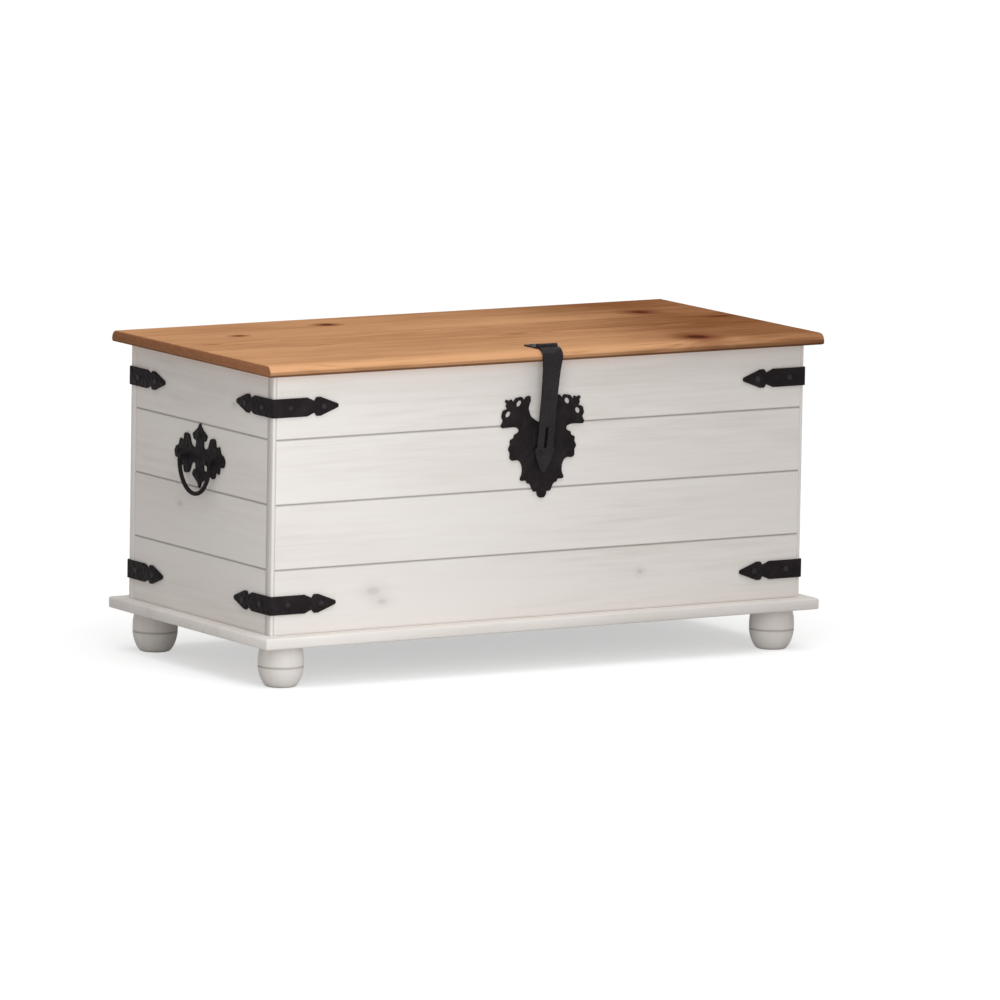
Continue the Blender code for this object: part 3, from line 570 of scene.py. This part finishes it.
wall_finishes = {
    "front": long_wall("front", -1.0, body_front, 1.0, front_knots),
    "back": long_wall("back", 1.0, body_back, 2.0, back_knots),
    "left": end_wall("left", -1.0, 3.0, left_knots),
    "right": end_wall("right", 1.0, 4.0, right_knots),
}
for wall, finish in wall_finishes.items():
    for row in (1, 2, 3, 4):
        board = frame["nodes"][f"{wall}_board_{row}"]
        board.data.materials.clear()
        board.data.materials.append(finish)


# Lid
# Five pine boards glued edge to edge, stained honey brown and waxed. Both long
# edges carry a broad nose. The sawn ends have drunk more stain and are dark.

lid_low, lid_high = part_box("lid_panel")
lid_boards, lid_ring_spacing = 5, 0.0062
lid_board_width = (lid_high.y - lid_low.y) / lid_boards
lid_knots = (
    (0.2688, -0.1819, 0.0200, 0.0230), (0.3459, 0.0946, 0.0190, 0.0170),
    (0.4283, 0.0074, 0.0200, 0.0060), (-0.1500, 0.1500, 0.0120, 0.0090),
    (-0.3300, 0.0900, 0.0090, 0.0060),
)


def honey_stain():
    """Stain on five boards: seams, knots, sawn ends; darker to the right and back, partly stain and
    partly painted shade; a painted highlight on the front nose and painted shade along the rim below.
    """
    finish = Finish("honey stained pine", {"Specular IOR Level": 0.0})
    x, y, z = finish.place()
    plank = (y - lid_low.y) / lid_board_width
    row = finish.math("FLOOR", plank)
    late, fibre, cloud, core, halo = sawn_pine(
        finish, (x, y, z), row * 2.3 + 5.0, lid_knots, lid_ring_spacing
    )
    tone = finish.node("ShaderNodeTexWhiteNoise", {"noise_dimensions": "1D"}, {"W": row + 0.37})
    broad = finish.noise((x, y, z), (2.4, 5.0, 1.0), 8.0, 1.0)
    light, dark = (0.700, 0.372, 0.188), (0.225, 0.080, 0.028)
    halo_brown, knot_brown = (0.180, 0.046, 0.018), (0.070, 0.018, 0.010)
    seam_brown, rim_shade_brown = (0.120, 0.050, 0.022), (0.110, 0.045, 0.024)
    end_light, end_dark = (0.420, 0.190, 0.095), (0.230, 0.095, 0.048)
    stain = late * 0.36 + (fibre - 0.5) * 0.75 + (cloud - 0.5) * 0.34 + (tone - 0.5) * 0.16
    # Darker towards the right end, and towards the back two lines below: partly stain, partly painted
    # shade.
    stain = stain + (broad - 0.5) * 0.4 + finish.rise(x, 0.08, 0.38) * 0.54 - 0.09
    # A painted highlight: lighter along the front nose.
    nose_highlight = 1.0 - finish.rise(y - lid_low.y, 0.004, 0.030)
    stain = stain + finish.rise(y, -0.15, 0.25) * 0.10 - nose_highlight * 0.22
    colour = finish.mix(finish.rise(stain, -0.36, 0.92), light, dark)
    colour = finish.mix(halo * 0.75, colour, halo_brown)
    colour = finish.mix(core * 0.85, colour, knot_brown)
    seam = abs(plank - finish.math("ROUND", plank)) * lid_board_width
    seam = (1.0 - finish.rise(seam, 0.0002, 0.0007)) * 0.45
    colour = finish.mix(seam, colour, seam_brown)
    # Painted shade along the lid's lower rim at the front edge and the ends.
    under = 1.0 - finish.rise(z - lid_low.z, 0.0022, 0.0044)
    rim = finish.math("MINIMUM", y - lid_low.y, lid_high.x - abs(x))
    under = under * (1.0 - finish.rise(rim, 0.006, 0.009))
    colour = finish.mix(under * 0.85, colour, rim_shade_brown)
    end_rings = finish.noise((x, y, z), (1.0, 90.0, 420.0), 3.0)
    end_colour = finish.mix(end_rings, end_light, end_dark)
    sawn = finish.rise(abs(x), lid_high.x - 0.0016, lid_high.x - 0.0004)
    colour = finish.mix(sawn * (1.0 - under * 0.7), colour, end_colour)
    rough = fibre * 0.14 + cloud * 0.10 + 0.50
    finish.dress(colour, rough, fibre * 0.4 - late * 0.3 - seam * 2.0, 0.00018)
    return finish.material


dressed_copy("lid_panel", honey_stain(), sharp=50.0)


# Battens
# Two planed pine battens screwed up across the underside of the lid to keep it
# flat, left bare. Their lower edges are chamfered.

def bare_pine():
    """Planed pine with its grain running from front to back."""
    finish = Finish("bare pine battens", {"Specular IOR Level": 0.35})
    x, y, z = finish.place()
    seed = finish.math("SIGN", x) * 2.0 + 60.0
    late, fibre, cloud, _, _ = sawn_pine(finish, (y, x, z), seed, spacing=0.0040)
    stain = late * 0.5 + (fibre - 0.5) * 0.3 + (cloud - 0.5) * 0.5
    colour = finish.mix(finish.rise(stain, -0.2, 0.7), (0.68, 0.48, 0.28), (0.43, 0.24, 0.10))
    finish.dress(colour, fibre * 0.15 + 0.52, fibre * 0.5 - late * 0.3, 0.0002)
    return finish.material


batten_finish = bare_pine()
for end in ("left", "right"):
    dressed_copy(f"{end}_lid_batten", batten_finish, 0.0008)


# Batten screws
# Black iron screws, four to a batten, driven up through it into the lid. Their
# low heads are crossed and each stands at its own turn.

def hammered_iron(name, dark, scuffed, specular):
    """Forged iron under matt black lacquer, with hammer dimples and dull scuffs."""
    finish = Finish(name, {"Specular IOR Level": specular})
    x, y, z = finish.place()
    place = finish.node("ShaderNodeCombineXYZ", inputs={0: x, 1: y, 2: z})
    dimples = finish.node(
        "ShaderNodeTexVoronoi", {"feature": "SMOOTH_F1"},
        {"Vector": place, "Scale": 150.0, "Smoothness": 0.7},
    )
    grit = finish.noise((x, y, z), (900.0, 900.0, 900.0), 1.0, 3.0)
    patch = finish.noise((x, y, z), (45.0, 45.0, 45.0), 2.0, 3.0)
    colour = finish.mix(finish.rise(patch, 0.35, 0.78), dark, scuffed)
    rough = patch * 0.20 + grit * 0.12 + 0.36
    finish.dress(colour, rough, dimples * 2.6 + grit * 0.15, 0.0009)
    return finish.material


def crossed_head(radius, height, name):
    """A shallow screw head with a cross recess, flat side down on the origin."""
    head = turned([
        (0.0, -0.0004), (radius * 0.96, -0.0004), (radius, height * 0.35),
        (radius * 0.86, height * 0.8), (radius * 0.5, height), (0.0, height),
    ], 20, name)
    reach, half = radius * 0.625, radius * 0.11
    recess_floor, clear_above = height * 0.45, height * 1.55
    outline = [
        Matrix.Rotation(turn * math.pi / 2, 3, "Z") @ Vector((x, y, 0.0))
        for turn in range(4) for x, y in ((reach, -half), (reach, half), (half, half))
    ]
    recess = bmesh.new()
    low, high = (
        [recess.verts.new((corner.x, corner.y, level)) for corner in outline]
        for level in (recess_floor, clear_above)
    )
    recess.faces.new(low)
    recess.faces.new(high)
    for k in range(len(outline)):
        recess.faces.new((low[k - 1], low[k], high[k], high[k - 1]))
    bmesh.ops.recalc_face_normals(recess, faces=recess.faces)
    mesh = bpy.data.meshes.new("cross recess")
    recess.to_mesh(mesh)
    recess.free()
    cutter = bpy.data.objects.new("cross recess", mesh)
    bpy.context.collection.objects.link(cutter)
    cut = head.modifiers.new("cut", "BOOLEAN")
    cut.operation = "DIFFERENCE"
    cut.solver = "EXACT"
    cut.object = cutter
    settle(head)
    bpy.data.objects.remove(cutter)
    return head


iron = hammered_iron(
    "black hammered iron", (0.0178, 0.0142, 0.0150), (0.0290, 0.0236, 0.0246), 0.025,
)
small_head = crossed_head(0.0036, 0.0006, "crossed head")
screw_spin, stud_spin = 1.5, 6.0
batten_places = []
for end in ("left", "right"):
    low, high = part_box(f"{end}_lid_batten")
    for share in (0.09, 0.36, 0.64, 0.91):
        y = low.y + (high.y - low.y) * share
        batten_places.append((((low.x + high.x) / 2, y, low.z), (0, 0, -1)))
set_shapes("batten_screws", small_head, batten_places, iron, "lid", screw_spin)


# Lid hinges
# Two butt hinges of black iron: a leaf on the back wall, a leaf under the lid's
# overhang, and a pin through the knuckles. The wall leaf's screws sit low enough
# for the other leaf to fold down above them.

hinge_leaf_face = body_back + 0.0023
hinge_places = []
for end in ("left", "right"):
    for part in ("wall_leaf", "lid_leaf", "pin"):
        dressed_copy(f"{end}_hinge_{part}", iron, 0.0003)
    low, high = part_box(f"{end}_hinge_wall_leaf")
    for across, up in ((0.14, 0.36), (0.5, 0.36), (0.86, 0.36), (0.32, 0.13), (0.68, 0.13)):
        x = low.x + (high.x - low.x) * across
        z = low.z + (high.z - low.z) * up
        hinge_places.append(((x, hinge_leaf_face, z), (0, 1, 0)))
set_shapes("hinge_screws", small_head, hinge_places, iron, "chest", screw_spin)


# Corner straps
# Eight forged straps, each bent round a post, with an arrow head at both ends.
# Square-shouldered studs hold them to the boards, their heads rubbed a little bare.

worn_iron = hammered_iron(
    "rubbed black iron", (0.0230, 0.0200, 0.0216), (0.0390, 0.0340, 0.0362), 0.13,
)
stud_shape = turned([
    (0.0, -0.0006), (0.0040, -0.0006), (0.0042, 0.0004), (0.0036, 0.0013),
    (0.0022, 0.0019), (0.0, 0.0021),
], 12, "stud")
strap_face = 0.0030
stud_places = []
for face, y_side in (("front", -1), ("back", 1)):
    wall_y = body_front if face == "front" else body_back
    for end, x_side in (("left", -1), ("right", 1)):
        for level in ("upper", "lower"):
            node = f"{face}_{end}_{level}_bracket"
            dressed_copy(node, iron, 0.0006)
            low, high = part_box(node)
            z = (low.z + high.z) / 2
            for reach in (0.026, 0.080):
                x = x_side * (body_half_length - reach)
                stud_places.append(((x, wall_y + y_side * strap_face, z), (0, y_side, 0)))
            for reach in (0.026, 0.074):
                y = wall_y - y_side * reach
                x = x_side * (body_half_length + strap_face)
                stud_places.append(((x, y, z), (x_side, 0, 0)))
set_shapes("strap_studs", stud_shape, stud_places, worn_iron, "chest", stud_spin)


# Escutcheon and keeper
# A pierced iron plate with two winged heads, nailed to the front, its outline
# followed by chased lines, and the low rod staple that the hasp drops over.

def ridges(name, lines, place_of, width, height, body, material):
    """Low rounded ridges along lines of (across, up), each a closed strip let into a face."""
    shape = bmesh.new()
    for line in lines:
        rings = []
        for k, (across, up) in enumerate(line):
            before, after = line[max(k - 1, 0)], line[min(k + 1, len(line) - 1)]
            run, climb = after[0] - before[0], after[1] - before[1]
            length = math.hypot(run, climb)
            side = (-climb / length, run / length)
            full = 0.45 if k in (0, len(line) - 1) else 1.0
            ring = []
            for share, rise in ((-1, -0.6), (-0.55, 0.7), (0, 1), (0.55, 0.7), (1, -0.6)):
                reach = share * full * width / 2
                corner = (across + side[0] * reach, up + side[1] * reach, rise * full * height)
                ring.append(shape.verts.new(place_of(*corner)))
            rings.append(ring)
        for lower, upper in zip(rings, rings[1:]):
            for k in range(5):
                ahead = (k + 1) % 5
                shape.faces.new((lower[k], lower[ahead], upper[ahead], upper[k]))
        shape.faces.new(rings[0])
        shape.faces.new(rings[-1])
    bmesh.ops.recalc_face_normals(shape, faces=shape.faces)
    mesh = bpy.data.meshes.new(name)
    shape.to_mesh(mesh)
    shape.free()
    mesh.shade_smooth()
    mesh.set_sharp_from_angle(angle=math.radians(60))
    mesh.materials.append(material)
    piece = bpy.data.objects.new(name, mesh)
    bpy.context.collection.objects.link(piece)
    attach(piece, body)
    return piece


def both_sides(lines):
    """Each line, and its mirror image across the middle."""
    return [[(side * x, up) for x, up in line] for line in lines for side in (-1, 1)]


chased_width, chased_height = 0.0011, 0.00035
dressed_copy("escutcheon", iron, 0.0005)
dressed_copy("hasp_keeper", iron)
plate_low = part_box("escutcheon")[0]
plate_places = [
    ((x, plate_low.y, plate_low.z + up), (0, -1, 0))
    for x, up in ((-0.050, 0.112), (0.050, 0.112), (-0.044, 0.066), (0.044, 0.066), (0.0, 0.012))
]
set_shapes("escutcheon_nails", stud_shape, plate_places, iron, "chest", stud_spin)
plate_lines = both_sides([
    [(0.0240, 0.1440), (0.0246, 0.1370), (0.0272, 0.1290), (0.0250, 0.1200), (0.0190, 0.1130)],
    [(0.0275, 0.1430), (0.0286, 0.1360), (0.0310, 0.1280), (0.0298, 0.1190), (0.0260, 0.1120)],
    [(0.0650, 0.1058), (0.0560, 0.1066), (0.0450, 0.1078), (0.0370, 0.1060)],
    [(0.0450, 0.0895), (0.0405, 0.0850), (0.0385, 0.0800)],
    [(0.0465, 0.0860), (0.0425, 0.0815), (0.0410, 0.0770)],
    [(0.0510, 0.0783), (0.0450, 0.0765), (0.0405, 0.0720)],
    [(0.0512, 0.0668), (0.0450, 0.0690), (0.0390, 0.0680)],
    [(0.0480, 0.0590), (0.0420, 0.0620), (0.0370, 0.0620)],
    [(0.0330, 0.0290), (0.0280, 0.0310), (0.0240, 0.0350)],
    [(0.0310, 0.0345), (0.0265, 0.0360), (0.0230, 0.0400)],
    [(0.0190, 0.0215), (0.0145, 0.0235), (0.0110, 0.0275)],
    [(0.0155, 0.0125), (0.0110, 0.0155), (0.0080, 0.0200)],
])
ridges(
    "escutcheon_chasing", plate_lines,
    lambda x, up, rise: (x, plate_low.y - rise, plate_low.z + up),
    chased_width, chased_height, "chest", iron,
)


# Hasp
# A leaf screwed to the lid, a pin, and the long slotted strap that bends over the
# lid's edge and ends in a spade below a raised collar. It is forged in one length.

hasp_iron = hammered_iron(
    "black forged hasp", (0.0106, 0.0078, 0.0083), (0.0212, 0.0168, 0.0174), 0.18,
)
for node in ("hasp_leaf", "hasp_pin", "hasp_strap"):
    dressed_copy(node, hasp_iron, 0.0004)
leaf_end, leaf_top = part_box("hasp_leaf")[1].y, lid_high.z + 0.0023
leaf_places = [
    ((x, leaf_end - back, leaf_top), (0, 0, 1))
    for x, back in ((-0.009, 0.008), (0.009, 0.008), (0.0, 0.019))
]
set_shapes("hasp_screws", small_head, leaf_places, iron, "lid", screw_spin)
collar_width, collar_height = 0.0013, 0.0006
strap_points = [point.co for point in frame["nodes"]["hasp_strap"].data.vertices]
strap_end = min(point.z for point in strap_points)
spade_points = [point for point in strap_points if point.z < strap_end + 0.040]
spade_tip = min((p for p in spade_points if p.z < strap_end + 0.004), key=lambda p: p.y)
spade_half = max(point.x for point in spade_points)
spade_top = min((p for p in spade_points if p.x > spade_half - 0.0001), key=lambda p: p.y)
up_strap = Vector((0.0, spade_top.y - spade_tip.y, spade_top.z - spade_tip.z)).normalized()
off_strap = Vector((0.0, -up_strap.z, up_strap.y))
spade_length = (spade_top - spade_tip).dot(up_strap)
collar_lines = []
for below, inset in ((0.0008, 0.0012), (0.0060, 0.0018)):
    height = spade_length - below
    collar_lines.append([
        (spade_half * share - math.copysign(inset, share), height)
        for share in (-1.0, -0.97, 0.97, 1.0)
    ])
ridges(
    "hasp_collar", collar_lines,
    lambda x, up, rise: Vector((x, spade_tip.y, spade_tip.z)) + up_strap * up + off_strap * rise,
    collar_width, collar_height, "hasp", hasp_iron,
)


# End handles
# Cast iron plates with lobed outlines and two ears each, nailed to the ends, and
# the bails, round bars bent to a loop, that turn in the ears.

def rod_tree():
    """Geometry Nodes that sweep a round bar along a path with its own radius."""
    tree = bpy.data.node_groups.new("bar along a path", "GeometryNodeTree")
    tree.interface.new_socket("Path", in_out="INPUT", socket_type="NodeSocketGeometry")
    tree.interface.new_socket("Sides", in_out="INPUT", socket_type="NodeSocketInt")
    tree.interface.new_socket("Finish", in_out="INPUT", socket_type="NodeSocketMaterial")
    tree.interface.new_socket("Bar", in_out="OUTPUT", socket_type="NodeSocketGeometry")
    add, link = tree.nodes.new, tree.links.new
    given = add("NodeGroupInput")
    path = add("GeometryNodeMeshToCurve")
    link(given.outputs["Path"], path.inputs["Mesh"])
    radius = add("GeometryNodeInputNamedAttribute")
    radius.inputs["Name"].default_value = "thickness"
    ring = add("GeometryNodeCurvePrimitiveCircle")
    ring.inputs["Radius"].default_value = 1.0
    link(given.outputs["Sides"], ring.inputs["Resolution"])
    bar = add("GeometryNodeCurveToMesh")
    bar.inputs["Fill Caps"].default_value = True
    link(path.outputs["Curve"], bar.inputs["Curve"])
    link(ring.outputs["Curve"], bar.inputs["Profile Curve"])
    link(radius.outputs["Attribute"], bar.inputs["Scale"])
    realize = add("GeometryNodeRealizeInstances")
    link(bar.outputs["Mesh"], realize.inputs["Geometry"])
    paint = add("GeometryNodeSetMaterial")
    link(realize.outputs["Geometry"], paint.inputs["Geometry"])
    link(given.outputs["Finish"], paint.inputs["Material"])
    link(paint.outputs["Geometry"], add("NodeGroupOutput").inputs["Bar"])
    return tree


bar_along_path = rod_tree()
handle_lines = both_sides([
    [(0.0660, 0.0465), (0.0600, 0.0465), (0.0520, 0.0465)],
    [(0.0560, 0.0385), (0.0510, 0.0400), (0.0450, 0.0425)],
    [(0.0560, 0.0545), (0.0510, 0.0530), (0.0450, 0.0505)],
    [(0.0350, 0.0250), (0.0340, 0.0310), (0.0300, 0.0370)],
    [(0.0350, 0.0690), (0.0340, 0.0630), (0.0300, 0.0570)],
    [(0.0060, 0.0160), (0.0055, 0.0220), (0.0040, 0.0290)],
    [(0.0060, 0.0780), (0.0055, 0.0720), (0.0040, 0.0650)],
])
bail_radius = 0.0031
peg_radius = 0.0022
bail_corner = 0.0036
peg_end, peg_shoulder = 0.031, 0.034
handle_places = []
for end, x_side in (("left", -1), ("right", 1)):
    dressed_copy(f"{end}_handle_plate", iron, 0.0005)
    low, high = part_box(f"{end}_bail")
    middle_x, middle_y = (low.x + high.x) / 2, (low.y + high.y) / 2
    half_width = (high.y - low.y) / 2 - bail_radius
    pivot_z = high.z - peg_radius
    drop = pivot_z - low.z - bail_radius
    path = [(peg_end, 0.0, peg_radius), (peg_shoulder, 0.0, peg_radius)]
    for k in range(7):
        angle = math.pi / 2 * k / 6
        across = half_width - bail_corner + bail_corner * math.sin(angle)
        thick = peg_radius + (bail_radius - peg_radius) * k / 6
        path.append((across, bail_corner * (math.cos(angle) - 1), thick))
    for k in range(1, 25):
        angle = math.pi / 2 * k / 24
        across = half_width * math.cos(angle)
        height = -bail_corner - (drop - bail_corner) * math.sin(angle)
        path.append((across, height, bail_radius))
    path += [(-across, height, thick) for across, height, thick in reversed(path[:-1])]
    mesh = bpy.data.meshes.new(f"{end}_bail_bar")
    points = [(middle_x, middle_y + across, pivot_z + height) for across, height, _ in path]
    mesh.from_pydata(points, [(k, k + 1) for k in range(len(points) - 1)], [])
    thickness = mesh.attributes.new("thickness", "FLOAT", "POINT")
    thickness.data.foreach_set("value", [thick for _, _, thick in path])
    bail = bpy.data.objects.new(f"{end}_bail_bar", mesh)
    bpy.context.collection.objects.link(bail)
    with_inputs(bail, bar_along_path, {"Sides": 20, "Finish": iron})
    bail.data.shade_smooth()
    bail.data.set_sharp_from_angle(angle=math.radians(50))
    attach(bail, f"{end}_bail")
    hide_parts(f"{end}_bail")
    plate_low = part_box(f"{end}_handle_plate")[0]
    face_x = x_side * (body_half_length + 0.0028)
    for across, up in ((-0.060, 0.0465), (0.060, 0.0465), (0.0, 0.0180), (0.0, 0.0760)):
        place = (face_x, middle_y + across, plate_low.z + up)
        handle_places.append((place, (x_side, 0, 0)))
    ridges(
        f"{end}_handle_chasing", handle_lines,
        lambda across, up, rise: (face_x + x_side * rise, middle_y + across, plate_low.z + up),
        chased_width, chased_height, "chest", iron,
    )
set_shapes("handle_nails", stud_shape, handle_places, iron, "chest", stud_spin)
bpy.data.objects.remove(stud_shape)
bpy.data.objects.remove(small_head)


# Floor, light and camera
# A plain pale floor, an even studio light with a soft front key, and a long lens
# from the front left.

floor_mesh = bpy.data.meshes.new("floor")
floor_half = 45.0
floor_mesh.from_pydata(
    [(-floor_half, -floor_half, 0), (floor_half, -floor_half, 0),
     (floor_half, floor_half, 0), (-floor_half, floor_half, 0)],
    [], [(0, 1, 2, 3)],
)
floor = bpy.data.objects.new("floor", floor_mesh)
bpy.context.collection.objects.link(floor)
floor_finish = Finish("pale floor", {"Base Color": (0.62, 0.62, 0.62, 1.0), "Roughness": 0.9})
floor_finish.surface.inputs["Specular IOR Level"].default_value = 0.0
floor_finish.surface.inputs["Emission Strength"].default_value = 1.0
camera_ray, glossy_ray, through_ray = [
    floor_finish.node("ShaderNodeLightPath", output=way) for way in (0, 3, 6)
]
either = floor_finish.math("MAXIMUM", camera_ray, glossy_ray)
shown = floor_finish.math("MAXIMUM", either, through_ray)
glow = floor_finish.mix(shown, (0.0, 0.0, 0.0), (0.50, 0.50, 0.50))
floor_finish.tree.links.new(glow.socket, floor_finish.surface.inputs["Emission Color"])
floor_mesh.materials.append(floor_finish.material)

world = bpy.data.worlds.new("studio")
bpy.context.scene.world = world
world.use_nodes = True
sky = world.node_tree
sky_light = sky.nodes["Background"]
sky_light.inputs["Color"].default_value = (1.0, 1.0, 1.0, 1.0)
sky_light.inputs["Strength"].default_value = 0.38
white = sky.nodes.new("ShaderNodeBackground")
white.inputs["Strength"].default_value = 1.0
rays = sky.nodes.new("ShaderNodeLightPath")
seen = sky.nodes.new("ShaderNodeMath")
seen.operation = "MAXIMUM"
sky.links.new(rays.outputs["Is Camera Ray"], seen.inputs[0])
sky.links.new(rays.outputs["Is Glossy Ray"], seen.inputs[1])
seen_too = sky.nodes.new("ShaderNodeMath")
seen_too.operation = "MAXIMUM"
sky.links.new(seen.outputs[0], seen_too.inputs[0])
sky.links.new(rays.outputs["Is Transmission Ray"], seen_too.inputs[1])
choice = sky.nodes.new("ShaderNodeMixShader")
sky.links.new(seen_too.outputs[0], choice.inputs[0])
sky.links.new(sky_light.outputs[0], choice.inputs[1])
sky.links.new(white.outputs[0], choice.inputs[2])
sky.links.new(choice.outputs[0], sky.nodes["World Output"].inputs[0])

overhead_data = bpy.data.lights.new("overhead", "SUN")
overhead_data.energy = 0.48 * math.pi
overhead_data.angle = math.radians(60)
overhead = bpy.data.objects.new("overhead", overhead_data)
overhead.rotation_euler = (math.radians(10), 0.0, 0.0)
softbox_data = bpy.data.lights.new("softbox", "AREA")
softbox_data.size = 0.9
softbox_data.energy = 5.9
softbox_data.color = (0.93, 0.975, 1.0)
softbox = bpy.data.objects.new("softbox", softbox_data)
softbox.location = (-0.60, -1.12, 0.50)
aim = softbox.location - Vector((-0.16, -0.20, 0.12))
softbox.rotation_euler = aim.to_track_quat("Z", "Y").to_euler()
for lamp in (overhead, softbox):
    bpy.context.collection.objects.link(lamp)

camera_data = bpy.data.cameras.new("camera")
camera_data.lens = 394.65
camera_data.sensor_width = 36.0
camera_data.clip_end = 200.0
camera = bpy.data.objects.new("camera", camera_data)
bpy.context.collection.objects.link(camera)
yaw, pitch, roll = math.radians(31.49), math.radians(-8.02), math.radians(0.97)
ahead = Vector((math.sin(yaw) * math.cos(pitch), math.cos(yaw) * math.cos(pitch), math.sin(pitch)))
right = Vector((math.cos(yaw), -math.sin(yaw), 0.0))
above = right.cross(ahead)
tilted_right = math.cos(roll) * right + math.sin(roll) * above
tilted_up = -math.sin(roll) * right + math.cos(roll) * above
facing = Matrix((tilted_right, tilted_up, -ahead)).transposed().to_4x4()
facing.translation = Vector((-8.0888, -13.2942, 2.4099))
camera.matrix_world = facing
bpy.context.scene.camera = camera
bpy.context.scene.view_settings.view_transform = "Standard"
